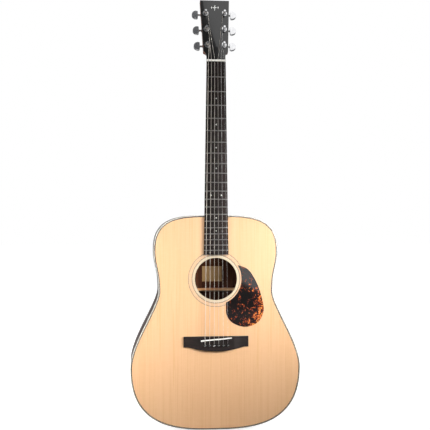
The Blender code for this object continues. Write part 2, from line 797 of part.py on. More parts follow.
def neck_rings():
    rings = []
    joint = above_tail(BODY_LENGTH) + GAP
    sweep_end = HEEL_CAP_LENGTH + HEEL_SWEEP
    heel_steps = [0.0, HEEL_CAP_LENGTH * 0.8, HEEL_CAP_LENGTH]
    heel_steps += [HEEL_CAP_LENGTH + HEEL_SWEEP * (1 - cos(pi / 2 * i / 6)) for i in range(1, 7)]
    for step in heel_steps:
        curve = max(0.0, min(1.0, (sweep_end - step) / HEEL_SWEEP))
        share = 1 - (1 - curve * curve) ** 0.5
        depth = NECK_DEPTH_AT_HEEL + (HEEL_DEPTH - NECK_DEPTH_AT_HEEL) * share
        z = joint + step
        flat = section(board_half_width(z), depth, 0.85 - 0.25 * share, 0.0,
                       HEEL_NARROWING * share)
        rings.append([(x, TOP_Y + y, z) for x, y in flat])
    top = above_tail(NUT_HEIGHT) + BREAK_BEHIND_NUT
    start = joint + sweep_end
    for i in range(1, 4):
        z = start + (top - start) * i / 3
        share = i / 3
        depth = NECK_DEPTH_AT_HEEL + (NECK_DEPTH_AT_NUT - NECK_DEPTH_AT_HEEL) * share
        flat = section(board_half_width(min(z, above_tail(NUT_HEIGHT))), depth, 0.85)
        rings.append([(x, TOP_Y + y, z) for x, y in flat])
    frame = headstock_frame()
    levels = [0.003, SHOULDER_START, 0.010, 0.014, 0.0175, 0.0195, SHOULDER_END, 0.032]
    for level in levels + [HEADSTOCK_LENGTH]:
        squareness = min(1.0, level / SHOULDER_END) ** 1.5
        depth = NECK_DEPTH_AT_NUT + (HEADSTOCK_THICKNESS - NECK_DEPTH_AT_NUT) * squareness
        flat = section(headstock_half_width(level), depth, 0.85, squareness)
        rings.append([frame @ Vector((x, level, -y)) for x, y in flat])
    return rings


def tuner_places():
    """(string number, frame at the post on the headstock's face, hand) for each machine."""
    frame = headstock_frame()
    order = [(0, -1, 0), (1, -1, 1), (2, -1, 2), (3, 1, 2), (4, 1, 1), (5, 1, 0)]
    places = []
    for number, hand, row in order:
        spot = Matrix.Translation((hand * POST_HALF_SPREADS[row], POST_DISTANCES[row], 0))
        places.append((number, frame @ spot, hand))
    return places


def post_bores():
    meshes = []
    for _, place, _ in tuner_places():
        mesh = cylinder_mesh("bore", BORE_RADIUS, (0, 0, -0.02), (0, 0, 0.006), 20)
        mesh.transform(place)
        meshes.append(mesh)
    return add_cutter("post_bores", joined_mesh("post_bores", meshes))


def rod_channel():
    low = (-ROD_CHANNEL_HALF, TOP_Y - 0.001, above_tail(ROD_END) - 0.002)
    high = (ROD_CHANNEL_HALF, TOP_Y + ROD_DEPTH + ROD_CHANNEL_HALF, above_tail(ROD_TOP) + GAP)
    return add_cutter("rod_channel", box_mesh("rod_channel", low, high))


def make_neck():
    part = add_part("neck", loft_mesh("neck", neck_rings()), "mahogany")
    shade_round(part.data, 50)
    boolean(part, POST_BORES)
    boolean(part, ROD_CHANNEL)


def make_veneer():
    levels = [GAP, SHOULDER_START, 0.010, 0.014, 0.0175, 0.0195, SHOULDER_END,
              HEADSTOCK_LENGTH]
    half = [(headstock_half_width(level), level) for level in levels]
    loop = half + [(-x, level) for x, level in reversed(half)]
    mesh = outline_mesh("headstock_veneer", [loop], VENEER_THICKNESS)
    lift = Matrix.Translation((0, 0, GAP + VENEER_THICKNESS / 2))
    mesh.transform(headstock_frame() @ lift)
    part = add_part("headstock_veneer", mesh, "black_veneer")
    boolean(part, POST_BORES)


def make_truss_rod():
    y = TOP_Y + ROD_DEPTH
    end = above_tail(ROD_END)
    mesh = cylinder_mesh("truss_rod", ROD_RADIUS, (0, y, end), (0, y, above_tail(ROD_TOP)), 12)
    add_part("truss_rod", mesh, "steel")
    nut = cylinder_mesh("truss_rod_nut", ROD_NUT_RADIUS, (0, 0, -ROD_NUT_LENGTH), (0, 0, 0), 16)
    place = Matrix.Translation((0, y, end - GAP))
    part = add_part("truss_rod_nut", nut, "steel", place)
    socket = cylinder_mesh("key_socket", KEY_SOCKET_RADIUS, (0, 0, -ROD_NUT_LENGTH - 0.001),
                           (0, 0, KEY_SOCKET_DEPTH - ROD_NUT_LENGTH), 6)
    boolean(part, add_cutter("key_socket", socket, place))


def fret_height(number):
    """World height of a fret, from the equal-tempered rule."""
    return above_tail(NUT_HEIGHT) - SCALE_LENGTH * (1 - 2 ** (-number / 12))


def make_fretboard():
    """The board with its frets, as a side profile swept across the tapering width."""
    glue = TOP_Y - GAP
    face = glue - FRETBOARD_THICKNESS
    crown = face - FRET_CROWN
    end = above_tail(BOARD_END_HEIGHT)
    top = above_tail(NUT_HEIGHT) - GAP
    profile = [(glue, end), (face, end)]
    for number in range(FRET_COUNT, 0, -1):
        low = fret_height(number) - FRET_WIDTH / 2
        high = low + FRET_WIDTH
        profile += [(face, low), (crown, low), (crown, high), (face, high)]
    profile += [(face, top), (glue, top)]
    rings = [[(hand * board_half_width(z), y, z) for y, z in profile] for hand in (-1, 1)]
    add_part("fretboard", loft_mesh("fretboard", rings), "ebony_board")


def make_nut():
    half = NUT_WIDTH / 2
    low = above_tail(NUT_HEIGHT)
    mesh = box_mesh("nut", (-half, TOP_Y - LIFT_AT_NUT + GAP, low),
                    (half, TOP_Y - GAP, low + NUT_THICKNESS))
    add_part("nut", mesh, "bone")


# ---------------------------------------------------------------- tuning machines

def mirrored_across(mesh, hand):
    """Flip a mesh to the bass side, keeping its faces outwards."""
    if hand < 0:
        mesh.transform(Matrix.Diagonal((-1, 1, 1, 1)))
        mesh.flip_normals()
    return mesh


def housing_mesh(hand):
    """Gear case behind the headstock, joined to the sleeve, washer and nut in front."""
    front = -HEADSTOCK_THICKNESS - GAP
    face = VENEER_THICKNESS + 2 * GAP
    case = box_mesh("case", (-HOUSING_HALF, HOUSING_LOW, HOUSING_BACK),
                    (HOUSING_HALF, HOUSING_HIGH, front))
    body = bpy.data.objects.new("case", case)
    CUTTERS.objects.link(body)
    edge = body.modifiers.new("edge", "BEVEL")
    edge.width = HOUSING_EDGE
    edge.segments = 1
    bore = POST_RADIUS + GAP
    root = front - HOUSING_WALL / 2
    profile = [(bore, root), (SLEEVE_RADIUS, root), (SLEEVE_RADIUS, face), (WASHER_RADIUS, face),
               (WASHER_RADIUS, face + WASHER_THICKNESS),
               (HEX_NUT_RADIUS, face + WASHER_THICKNESS + 0.0002),
               (HEX_NUT_RADIUS, face + HEX_NUT_TOP), (bore, face + HEX_NUT_TOP)]
    sleeve = add_cutter("sleeve", turned_mesh("sleeve", profile[::-1], 14, closed=True))
    wall = HOUSING_WALL
    cavity = add_cutter("cavity", box_mesh(
        "cavity", (-HOUSING_HALF + wall, HOUSING_LOW + wall, HOUSING_BACK + wall),
        (HOUSING_HALF - wall, HOUSING_HIGH - wall, front - wall)))
    throat = add_cutter("throat", cylinder_mesh("throat", bore + 0.0001, (0, 0, front - 0.004),
                                                (0, 0, front + 0.001), 14))
    door = add_cutter("door", cylinder_mesh(
        "door", HOUSING_DOOR_RADIUS, (0, WORM_OFFSET, WORM_DEPTH),
        (2 * HOUSING_HALF, WORM_OFFSET, WORM_DEPTH), 12))
    boolean(body, cavity)
    boolean(body, throat)
    boolean(body, door)
    boolean(body, sleeve, "UNION")
    mesh = evaluated_mesh(body)
    for helper in (body, sleeve, cavity, throat, door):
        bpy.data.objects.remove(helper)
    shade_round(mesh)
    return mirrored_across(mesh, hand)


def post_mesh():
    """The string post with its worm wheel at the foot."""
    count = 2 * GEAR_TEETH

    def ring(radius, height, tooth=0.0):
        points = []
        for i in range(count):
            angle = 2 * pi * i / count
            r = radius + (tooth if i % 2 == 0 else 0.0)
            points.append((r * cos(angle), r * sin(angle), height))
        return points

    low = WORM_DEPTH - GEAR_HALF_THICKNESS
    high = WORM_DEPTH + GEAR_HALF_THICKNESS
    tooth = GEAR_RADIUS - GEAR_ROOT
    foot = POST_RADIUS * 0.8
    rings = [ring(foot, low - 0.0017), ring(foot, low), ring(GEAR_ROOT, low, tooth),
             ring(GEAR_ROOT, high, tooth), ring(POST_RADIUS, high), ring(POST_RADIUS, POST_TOP)]
    mesh = loft_mesh("post", rings)
    shade_round(mesh)
    return mesh


def button_mesh():
    """The half-moon button: flat inner edge and a round outer one."""
    steps = 10
    span = KNOB_OUTER - KNOB_INNER
    loop = []
    for i in range(steps + 1):
        angle = -pi / 2 + pi * i / steps
        loop.append((KNOB_INNER + span * (0.24 + 0.76 * cos(angle)),
                     KNOB_HALF_HEIGHT * sin(angle)))
    loop += [(KNOB_INNER, KNOB_HALF_HEIGHT * 0.88), (KNOB_INNER, -KNOB_HALF_HEIGHT * 0.88)]
    return outline_mesh("button", [loop], 2 * KNOB_HALF_THICKNESS)


def knob_mesh(hand):
    """Worm, shaft and button in one piece, turning about the worm's axis."""
    button = bpy.data.objects.new("button", button_mesh())
    CUTTERS.objects.link(button)
    edge = button.modifiers.new("edge", "BEVEL")
    edge.width = KNOB_EDGE
    edge.segments = 1
    edge.limit_method = "ANGLE"
    edge.angle_limit = radians(50)
    shaft = WORM_CORE_RADIUS
    profile = [(0, -0.0062), (shaft, -0.0062)]
    for turn in range(4):
        middle = -0.0042 + 0.0028 * turn
        profile += [(WORM_RADIUS, middle), (shaft, middle + 0.0014)]
    profile += [(shaft, 0.0088), (0.0037, 0.0088), (0.0037, 0.0106), (shaft, 0.0112),
                (shaft, KNOB_INNER + 0.003), (0, KNOB_INNER + 0.003)]
    mesh = turned_mesh("worm", profile[::-1], 10)
    mesh.transform(Matrix.Rotation(pi / 2, 4, "Y"))
    worm = add_cutter("worm", mesh)
    boolean(button, worm, "UNION")
    result = evaluated_mesh(button)
    bpy.data.objects.remove(button)
    bpy.data.objects.remove(worm)
    shade_round(result)
    return mirrored_across(result, hand)


def make_tuners():
    housings = {hand: housing_mesh(hand) for hand in (-1, 1)}
    knobs = {hand: knob_mesh(hand) for hand in (-1, 1)}
    post = post_mesh()
    axis = Matrix.Translation((0, WORM_OFFSET, WORM_DEPTH))
    for number, place, hand in tuner_places():
        string = STRING_NAMES[number]
        add_part("tuner_housing_" + string, housings[hand], "chrome", place)
        add_part("tuner_post_" + string, post, "chrome", place)
        add_part("tuner_knob_" + string, knobs[hand], "chrome", place @ axis)


# ---------------------------------------------------------------- strings

def string_route(number, place, hand):
    """Post, nut, saddle and down the slot beside the bridge pin."""
    radius = STRING_DIAMETERS[number] / 2
    wrap = POST_RADIUS + GAP + radius
    saddle_x = string_x(number, SADDLE_SPACING)
    saddle_z = above_tail(SADDLE_HEIGHT) + tan(SADDLE_SLANT) * saddle_x
    anchor_z = above_tail(PIN_HEIGHT) + STRING_ANCHOR_OFFSET
    nut = Vector((string_x(number, NUT_SPACING), TOP_Y - LIFT_AT_NUT - radius,
                  above_tail(NUT_HEIGHT) + 0.005))
    saddle = Vector((saddle_x, TOP_Y - LIFT_AT_SADDLE - radius, saddle_z))
    post = place @ Vector((-hand * wrap, 0, STRING_WRAP_HEIGHT))
    lip = BRIDGE_THICKNESS + 2 * GAP + radius
    return [post, nut, saddle,
            Vector((saddle_x, TOP_Y - lip - 0.0006, anchor_z + 0.0010)),
            Vector((saddle_x, TOP_Y - lip + 0.0006, anchor_z + 0.0001)),
            Vector((saddle_x, TOP_Y - 0.006, anchor_z)),
            Vector((saddle_x, TOP_Y + 0.009, anchor_z))]


def make_strings():
    for number, place, hand in tuner_places():
        name = "string_" + STRING_NAMES[number]
        curve = bpy.data.curves.new(name, "CURVE")
        curve.dimensions = "3D"
        curve.bevel_depth = STRING_DIAMETERS[number] / 2
        curve.bevel_resolution = 2
        curve.use_fill_caps = True
        route = string_route(number, place, hand)
        spline = curve.splines.new("POLY")
        spline.points.add(len(route) - 1)
        for point, spot in zip(spline.points, route):
            point.co = (*spot, 1)
        curve.materials.append(MATERIALS["string_metal"])
        PARTS.objects.link(bpy.data.objects.new(name, curve))


# ---------------------------------------------------------------- assembly

clear_scene()
PARTS = new_collection("acoustic_guitar")
CUTTERS = new_collection("cutters")
MATERIALS = {
    "spruce": material("spruce", (0.85, 0.62, 0.36), 0.35),
    "rosewood": material("rosewood", (0.10, 0.045, 0.035), 0.30),
    "mahogany": material("mahogany", (0.20, 0.075, 0.04), 0.35),
    "maple": material("maple", (0.66, 0.50, 0.33), 0.60),
    "ebony": material("ebony", (0.035, 0.028, 0.024), 0.45),
    "ebony_board": material("ebony_board", (0.05, 0.04, 0.038), 0.50),
    "black_veneer": material("black_veneer", (0.012, 0.010, 0.009), 0.15),
    "binding_cream": material("binding_cream", (0.88, 0.80, 0.64), 0.30),
    "rosette_wood": material("rosette_wood", (0.62, 0.38, 0.24), 0.35),
    "tortoise_plastic": material("tortoise_plastic", (0.06, 0.018, 0.012), 0.12),
    "bone": material("bone", (0.90, 0.86, 0.76), 0.35),
    "pin_plastic": material("pin_plastic", (0.02, 0.018, 0.016), 0.25),
    "chrome": material("chrome", (0.80, 0.80, 0.80), 0.08, 1.0),
    "steel": material("steel", (0.55, 0.55, 0.56), 0.35, 1.0),
    "string_metal": material("string_metal", (0.70, 0.66, 0.60), 0.30, 1.0),
}
PIN_HOLES, PIN_SLOTS = pin_cutters()
POST_BORES = post_bores()
ROD_CHANNEL = rod_channel()
END_PIN_BORE = add_cutter("end_pin_bore", cylinder_mesh(
    "end_pin_bore", END_PIN_BORE_RADIUS, (0, 0, 0), (0, 0, 0.045), 16))
make_soundboard()
make_back_plate()
make_side("side_bass", -1)
make_side("side_treble", 1)
make_rings()
make_blocks()
make_x_braces()
make_tone_bar()
make_transverse_brace()
make_bridge_plate()
make_back_braces()
make_rosette()
make_pickguard()
make_bridge()
make_bridge_pins()
make_strap_button()
make_neck()
make_veneer()
make_truss_rod()
make_fretboard()
make_nut()
make_tuners()
make_strings()
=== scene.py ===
"""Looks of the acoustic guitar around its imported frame: neck up +Z, soundboard towards -Y.

Lengths are metres. Every visible surface is either a CAD node with a procedural material or a
finer piece that stands for its node and rides on the same body.
"""

from math import atan2, cos, hypot, pi, radians, sin, sqrt
import bmesh
import bpy
from mathutils import Matrix, Vector


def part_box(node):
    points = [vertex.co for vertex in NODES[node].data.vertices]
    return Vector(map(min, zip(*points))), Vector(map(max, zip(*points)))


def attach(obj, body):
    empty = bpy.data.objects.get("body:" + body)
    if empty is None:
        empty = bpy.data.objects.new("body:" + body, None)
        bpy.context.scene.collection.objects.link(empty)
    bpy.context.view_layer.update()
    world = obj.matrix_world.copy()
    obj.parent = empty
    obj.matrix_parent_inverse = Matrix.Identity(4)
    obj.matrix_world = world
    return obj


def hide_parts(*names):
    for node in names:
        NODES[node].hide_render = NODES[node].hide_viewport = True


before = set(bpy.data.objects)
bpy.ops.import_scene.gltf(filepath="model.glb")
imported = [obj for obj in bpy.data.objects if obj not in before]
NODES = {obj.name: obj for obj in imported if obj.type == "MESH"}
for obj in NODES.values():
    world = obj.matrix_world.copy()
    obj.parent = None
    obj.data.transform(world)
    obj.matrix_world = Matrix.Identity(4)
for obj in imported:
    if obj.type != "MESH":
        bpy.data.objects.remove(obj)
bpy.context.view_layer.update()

ROOT = "guitar_body"

# ---------------------------------------------------------------- sizes read from the frame

BINDING_LOW, BINDING_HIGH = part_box("top_binding")
BODY_BOTTOM = BINDING_LOW.z
BODY_LENGTH = BINDING_HIGH.z - BINDING_LOW.z
TOP_Y = BINDING_LOW.y
BINDING_DEPTH = BINDING_HIGH.y - BINDING_LOW.y
BACK_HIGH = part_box("back_binding")[1]
HOLE_LOW, HOLE_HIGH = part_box("soundhole_binding")
HOLE_CENTRE = (0.0, (HOLE_LOW.z + HOLE_HIGH.z) / 2)
BOARD_LOW, BOARD_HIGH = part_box("fretboard")
NUT_LOW, NUT_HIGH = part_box("nut")
BRIDGE_LOW, BRIDGE_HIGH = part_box("bridge")

# ---------------------------------------------------------------- sizes of the design

DEPTH_AT_TAIL = BACK_HIGH.y - TOP_Y
DEPTH_AT_NECK = 0.100
TAPER = (DEPTH_AT_TAIL - DEPTH_AT_NECK) / BODY_LENGTH
BINDING_WIDTH = 0.0014
PURFLING_LINE = 0.0012
PURFLING_GAP = 0.0003
PURFLING_WIDTH = 2 * PURFLING_LINE + PURFLING_GAP
PURFLING_DEPTH = 0.0015
BINDING_CORNER = 0.0011
SIDE_THICKNESS = 0.002
BOARD_THICKNESS = 0.003
BACK_ARCH = 0.0028
ARCH_CENTRE = 0.42 * BODY_LENGTH
LOWER_BOUT = (0.2020, 0.1465, 0.1496, 0.0579)
WAIST = (0.1354, 0.3285, 0.0367, 0.0498)
UPPER_BOUT = (0.1472, 0.4257, 0.0388, 0.0866)
TAIL_HANDLE = 0.0709
SHOULDER_HANDLE = 0.0679
SPAN_STEPS = (34, 26, 14, 26)


def above_tail(height):
    """Height in the frame from a height above the tail of the body."""
    return BODY_BOTTOM + height


HOLE_RADIUS = 0.050
HOLE_RING = 0.0549
ROSETTE_INNER = 0.0565
ROSETTE_OUTER = 0.0662
ROSETTE_BED = 0.0012

SCALE_LENGTH = 0.650
FRET_COUNT = 20
NUT_SPACING = 0.0075
SADDLE_SPACING = 0.0108
STRING_NAMES = ("low_e", "a", "d", "g", "b", "high_e")
STRING_DIAMETERS = (0.00135, 0.00107, 0.00081, 0.00061, 0.00041, 0.00030)
SLOT_CLEARANCE = 0.0003
NUT_ACTION = 0.0080
NUT_HALF_WIDTH = 0.0225
BOARD_END_HALF_WIDTH = 0.0290
BOARD_END_Z = above_tail(0.4145)

HEADSTOCK_TILT = radians(14)
HEADSTOCK_LENGTH = 0.1540
HEADSTOCK_THICKNESS = 0.013
VENEER_THICKNESS = 0.002
SHOULDER_START = 0.006
SHOULDER_END = 0.021
HEADSTOCK_BASE_HALF = 0.0293
HEADSTOCK_TOP_HALF = 0.0350
POST_DISTANCES = (0.0374, 0.0786, 0.1198)
POST_HALF_SPREADS = (0.0194, 0.0210, 0.0226)
WORM_OFFSET = 0.0068
WORM_DEPTH = -0.0215

UPRIGHT = Matrix.Rotation(pi / 2, 4, "X")
QUARTER_TURN = (0, pi / 8, pi / 4, 3 * pi / 8, pi / 2)
WELD = 0.000002


# ---------------------------------------------------------------- shader helpers

class Tree:
    """A node tree under construction."""

    def __init__(self, owner):
        owner.use_nodes = True
        self.nodes = owner.node_tree.nodes
        self.links = owner.node_tree.links

    def plug(self, socket, value):
        """Link a socket to another node's output, or set its constant."""
        if isinstance(value, bpy.types.NodeSocket):
            self.links.new(value, socket)
        elif socket.type == "RGBA":
            socket.default_value = (*value, 1.0)
        else:
            socket.default_value = value

    def set(self, node, values):
        for name, value in values.items():
            self.plug(node.inputs[name], value)

    def add(self, kind, settings=None, **inputs):
        node = self.nodes.new(kind)
        for name, value in (settings or {}).items():
            setattr(node, name, value)
        self.set(node, inputs)
        return node

    def spread(self, factor, low, high, source=(0.0, 1.0), **settings):
        """Map a factor to a number range."""
        values = dict(zip(("From Min", "From Max", "To Min", "To Max"), (*source, low, high)))
        return self.add("ShaderNodeMapRange", settings, Value=factor, **values).outputs["Result"]

    def show(self, output, seen, unseen):
        """One look for the camera's own rays and another for light and reflections."""
        mix = self.add("ShaderNodeMixShader")
        path = self.add("ShaderNodeLightPath")
        for socket, value in zip(mix.inputs, (path.outputs["Is Camera Ray"], unseen, seen)):
            self.plug(socket, value)
        self.set(output, {"Surface": mix.outputs["Shader"]})


class Graph(Tree):
    """A procedural material under construction."""

    def __init__(self, name, **sockets):
        self.material = bpy.data.materials.new(name)
        super().__init__(self.material)
        self.shader = self.nodes["Principled BSDF"]
        self.set(self.shader, sockets)
        self.coords = self.add("ShaderNodeTexCoord").outputs["Object"]

    def stretched(self, scale, mirrored):
        """Object coordinates scaled on each axis; mirrored folds X about the centreline."""
        source = self.coords
        if mirrored:
            parts = self.add("ShaderNodeSeparateXYZ", Vector=source).outputs
            source = self.add("ShaderNodeCombineXYZ", X=self.math("ABSOLUTE", parts["X"]),
                              Y=parts["Y"], Z=parts["Z"]).outputs["Vector"]
        return self.add("ShaderNodeMapping", Vector=source, Scale=scale).outputs["Vector"]

    def noise(self, vector, detail, roughness, distortion):
        return self.add("ShaderNodeTexNoise", Vector=vector, Scale=1.0, Detail=detail,
                        Roughness=roughness, Distortion=distortion).outputs["Fac"]

    def grain(self, scale, detail=2.0, roughness=0.5, distortion=0.0, mirrored=False):
        """Noise stretched along the grain; scale is its fineness on each axis."""
        if not isinstance(scale, tuple):
            scale = (scale, scale, scale)
        return self.noise(self.stretched(scale, mirrored), detail, roughness, distortion)

    def math(self, operation, *values):
        node = self.add("ShaderNodeMath", {"operation": operation})
        for socket, value in zip(node.inputs, values):
            self.plug(socket, value)
        return node.outputs["Value"]

    def ramp(self, factor, *stops):
        """Colour ramp through (position, colour) stops."""
        node = self.add("ShaderNodeValToRGB", Fac=factor)
        band = node.color_ramp
        while len(band.elements) < len(stops):
            band.elements.new(0.5)
        for element, (position, color) in zip(band.elements, stops):
            element.position = position
            element.color = (*color, 1.0)
        return node.outputs["Color"]

    def tint(self, base, color, factor, band=(0.0, 1.0), most=0.0, least=0.0):
        """The base colour with another laid over it where the factor rises through a band."""
        node = self.add("ShaderNodeMix", {"data_type": "RGBA"})
        self.set(node, {"Factor": self.spread(factor, least, most, band), "A": base, "B": color})
        return next(socket for socket in node.outputs if socket.type == "RGBA")

    def finish(self, color, roughness, height=None, strength=0.0, distance=0.0001):
        """Set the colour, the roughness and the relief, and give the material back."""
        self.set(self.shader, {"Base Color": color, "Roughness": roughness})
        if height is not None:
            bump = self.add("ShaderNodeBump", Height=height, Strength=strength, Distance=distance)
            self.set(self.shader, {"Normal": bump.outputs["Normal"]})
        return self.material


# ---------------------------------------------------------------- materials

# Painted shade: how dark the wood inside the body is painted, as a share of its own colour.
INSIDE_SHADE_TONE = 0.45


def scaled(values, factor):
    return tuple(value * factor for value in values)


def spruce(name, mirrored=True, shade_scale=1.0, coat=0.6):
    """Quarter-sawn spruce: close straight lines up the grain, silk across it."""
    graph = Graph(name, **{"Coat Weight": coat, "Coat Roughness": 0.08})
    lines = graph.grain((620, 620, 5), 3.0, 0.65, 0.15, mirrored)
    rings = graph.grain((90, 90, 1.3), 2.0, 0.5, 0.4, mirrored)
    silk = graph.grain((60, 60, 420), 2.0, 0.6, 0.6, mirrored)
    # Every colour is scaled down for spruce inside the body, as painted shade.
    pale = scaled((0.755, 0.46, 0.250), shade_scale)
    color = graph.ramp(lines, (0.28, scaled((0.66, 0.37, 0.178), shade_scale)), (0.50, pale),
                       (0.75, pale))
    color = graph.tint(color, scaled((0.70, 0.395, 0.198), shade_scale), rings, (0.35, 0.75), 0.34)
    color = graph.tint(color, scaled((0.82, 0.54, 0.31), shade_scale), silk, (0.5, 0.8), 0.22)
    return graph.finish(color, graph.spread(rings, 0.24, 0.36), lines, 0.12, 0.0002)


def rosewood(name, scale, mirrored=False, bare_and_shaded=False):
    """Dark brown with black figure and open pores; scale stretches it along the grain.

    Bare wood, as inside the body, has no varnish and is duller; its colour is also painted
    darker, as shade inside the body.
    """
    coat, shine, tone = (0.0, 0.12, INSIDE_SHADE_TONE) if bare_and_shaded else (0.7, 0.5, 1.0)
    graph = Graph(name, **{"Coat Weight": coat, "Coat Roughness": 0.07,
                           "Specular IOR Level": shine})
    figure = graph.grain(scaled(scale, 0.10), 5.0, 0.62, 1.2, mirrored)
    streaks = graph.grain(scaled(scale, 0.45), 4.0, 0.7, 0.5, mirrored)
    pores = graph.grain(scaled(scale, 2.4), 2.0, 0.5, 0.0, mirrored)
    bands = ((0.30, (0.030, 0.012, 0.010)), (0.48, (0.115, 0.045, 0.030)),
             (0.62, (0.190, 0.082, 0.048)), (0.80, (0.075, 0.028, 0.022)))
    # The bands are scaled down for wood inside the body, as painted shade.
    color = graph.ramp(figure, *((stop, scaled(shade, tone)) for stop, shade in bands))
    color = graph.tint(color, (0.022, 0.010, 0.009), streaks, (0.48, 0.70), 0.75)
    color = graph.tint(color, (0.012, 0.006, 0.005), pores, (0.60, 0.72), 0.8)
    polish = (0.6, 0.8) if bare_and_shaded else (0.22, 0.38)
    return graph.finish(color, graph.spread(streaks, *polish), pores, 0.10, 0.0002)


def mahogany(name):
    """Even red-brown wood with short dark pores along the neck."""
    graph = Graph(name, **{"Coat Weight": 0.45, "Coat Roughness": 0.16})
    tone = graph.grain((45, 45, 3), 4.0, 0.6, 0.8)
    pores = graph.grain((900, 900, 60), distortion=0.2)
    color = graph.ramp(tone, (0.30, (0.120, 0.042, 0.022)), (0.55, (0.200, 0.075, 0.038)),
                       (0.75, (0.260, 0.105, 0.052)))
    color = graph.tint(color, (0.050, 0.016, 0.010), pores, (0.58, 0.72), 0.7)
    return graph.finish(color, graph.spread(tone, 0.28, 0.42), pores, 0.10, 0.0002)


def ebony(name, scale=(700, 700, 26), gloss=0.16):
    """Nearly black wood with faint brown streaks and fine pores."""
    graph = Graph(name, **{"Specular IOR Level": 0.36})
    tone = graph.grain(scaled(scale, 0.12), 4.0, 0.6, 0.6)
    pores = graph.grain(scale, 3.0, 0.6, 0.2)
    color = graph.ramp(tone, (0.35, (0.008, 0.005, 0.004)), (0.60, (0.016, 0.009, 0.008)),
                       (0.78, (0.028, 0.016, 0.013)))
    color = graph.tint(color, (0.003, 0.003, 0.003), pores, (0.58, 0.74), 0.75)
    return graph.finish(color, graph.spread(pores, gloss, gloss + 0.18), pores, 0.14, 0.0002)


def maple(name):
    graph = Graph(name)
    tone = graph.grain((12, 60, 60), 4.0, 0.6, 0.5)
    flecks = graph.grain((60, 500, 500))
    color = graph.ramp(tone, (0.35, (0.56, 0.38, 0.21)), (0.70, (0.70, 0.52, 0.33)))
    return graph.finish(color, graph.spread(flecks, 0.5, 0.7), flecks, 0.1, 0.0002)


def rosette_wood(name):
    """Pale ring of wood whose grain runs round the hole."""
    graph = Graph(name, **{"Coat Weight": 0.7, "Coat Roughness": 0.07})
    place = graph.add("ShaderNodeMapping", Vector=graph.coords,
                      Location=(0.0, 0.0, -HOLE_CENTRE[1])).outputs["Vector"]
    parts = graph.add("ShaderNodeSeparateXYZ", Vector=place).outputs
    x, z = parts["X"], parts["Z"]
    square = graph.math("ADD", graph.math("MULTIPLY", x, x), graph.math("MULTIPLY", z, z))
    across = graph.math("MULTIPLY", graph.math("SQRT", square), 900.0)
    along = graph.math("MULTIPLY", graph.math("ARCTAN2", z, x), 5.0)
    vector = graph.add("ShaderNodeCombineXYZ", X=across, Y=along).outputs["Vector"]
    grain = graph.noise(vector, 4.0, 0.6, 0.4)
    color = graph.ramp(grain, (0.30, (0.65, 0.400, 0.235)), (0.55, (0.70, 0.460, 0.280)),
                       (0.78, (0.74, 0.500, 0.310)))
    return graph.finish(color, graph.spread(grain, 0.22, 0.34), graph.grain(700), 0.05)


def cream_plastic(name, color):
    """Slightly yellowed plastic with faint flow lines."""
    graph = Graph(name, **{"Coat Weight": 0.4, "Coat Roughness": 0.08})
    fine = graph.grain(420, 3.0, 0.6)
    warm = tuple(value * shade for value, shade in zip(color, (0.97, 0.94, 0.88)))
    tone = graph.tint(color, warm, graph.grain(28, 3.0, 0.5, 0.3), (0.40, 0.75), 0.7)
    return graph.finish(tone, graph.spread(fine, 0.22, 0.36), fine, 0.04)


def bone(name):
    graph = Graph(name, **{"Coat Weight": 0.4, "Coat Roughness": 0.15})
    cloud = graph.grain(90, 3.0, 0.6, 0.3)
    flecks = graph.grain((240, 1400, 1400))
    color = graph.ramp(cloud, (0.30, (0.90, 0.86, 0.77)), (0.65, (0.96, 0.94, 0.89)))
    color = graph.tint(color, (0.62, 0.52, 0.36), flecks, (0.60, 0.75), 0.35)
    return graph.finish(color, graph.spread(cloud, 0.26, 0.38), flecks, 0.06)


def tortoise(name):
    """Polished celluloid: near black, with amber clouds gathering low on the treble side."""
    graph = Graph(name, **{"Coat Weight": 1.0, "Coat Roughness": 0.03})
    blobs = graph.grain((150, 150, 120), 3.0, 0.55, 1.6)
    threads = graph.grain((380, 380, 240), 2.0, 0.6, 1.2)
    place = graph.add("ShaderNodeSeparateXYZ", Vector=graph.coords).outputs
    lean = graph.math("MULTIPLY_ADD", place["Z"], -0.40, place["X"])
    gather = graph.spread(lean, 0.0, 0.20, (-0.048, -0.003))
    clouds = graph.ramp(graph.math("ADD", blobs, gather), (0.57, (0.004, 0.004, 0.004)),
                        (0.62, (0.100, 0.016, 0.010)), (0.68, (0.480, 0.095, 0.022)),
                        (0.79, (0.900, 0.340, 0.075)))
    color = graph.tint(clouds, (0.005, 0.003, 0.003), threads, (0.50, 0.62), 0.95)
    fine = graph.grain(300)
    return graph.finish(color, graph.spread(fine, 0.03, 0.07), fine, 0.02)


def lacquer(name):
    """Black gloss over wood, with the faint ripple of a sprayed finish."""
    graph = Graph(name, **{"Coat Weight": 1.0, "Coat Roughness": 0.02})
    ripple = graph.grain(26)
    black = (0.003, 0.0025, 0.002)
    tone = graph.tint(black, scaled(black, 1.8), graph.grain((700, 700, 40)), (0.5, 0.75), 0.8)
    return graph.finish(tone, graph.spread(ripple, 0.05, 0.13), ripple, 0.03, 0.0008)


def black_plastic(name):
    graph = Graph(name, **{"Coat Weight": 0.3, "Coat Roughness": 0.1})
    fine = graph.grain(1500)
    color = graph.ramp(graph.grain(120, 3.0), (0.3, (0.010, 0.009, 0.008)),
                       (0.7, (0.022, 0.018, 0.015)))
    return graph.finish(color, graph.spread(fine, 0.18, 0.34), fine, 0.05)


def metal(name, color, low, high, brushed=220, strength=0.03, metallic=1.0):
    """Bare or plated metal whose polish varies with handling."""
    graph = Graph(name, Metallic=metallic)
    smudge = graph.grain(70, 3.0, 0.6, 0.4)
    tone = graph.tint(color, scaled(color, 0.86), smudge, (0.4, 0.8), 0.8)
    polish = graph.spread(smudge, low, high, (0.3, 0.75))
    return graph.finish(tone, polish, graph.grain(brushed, 3.0, 0.6), strength)


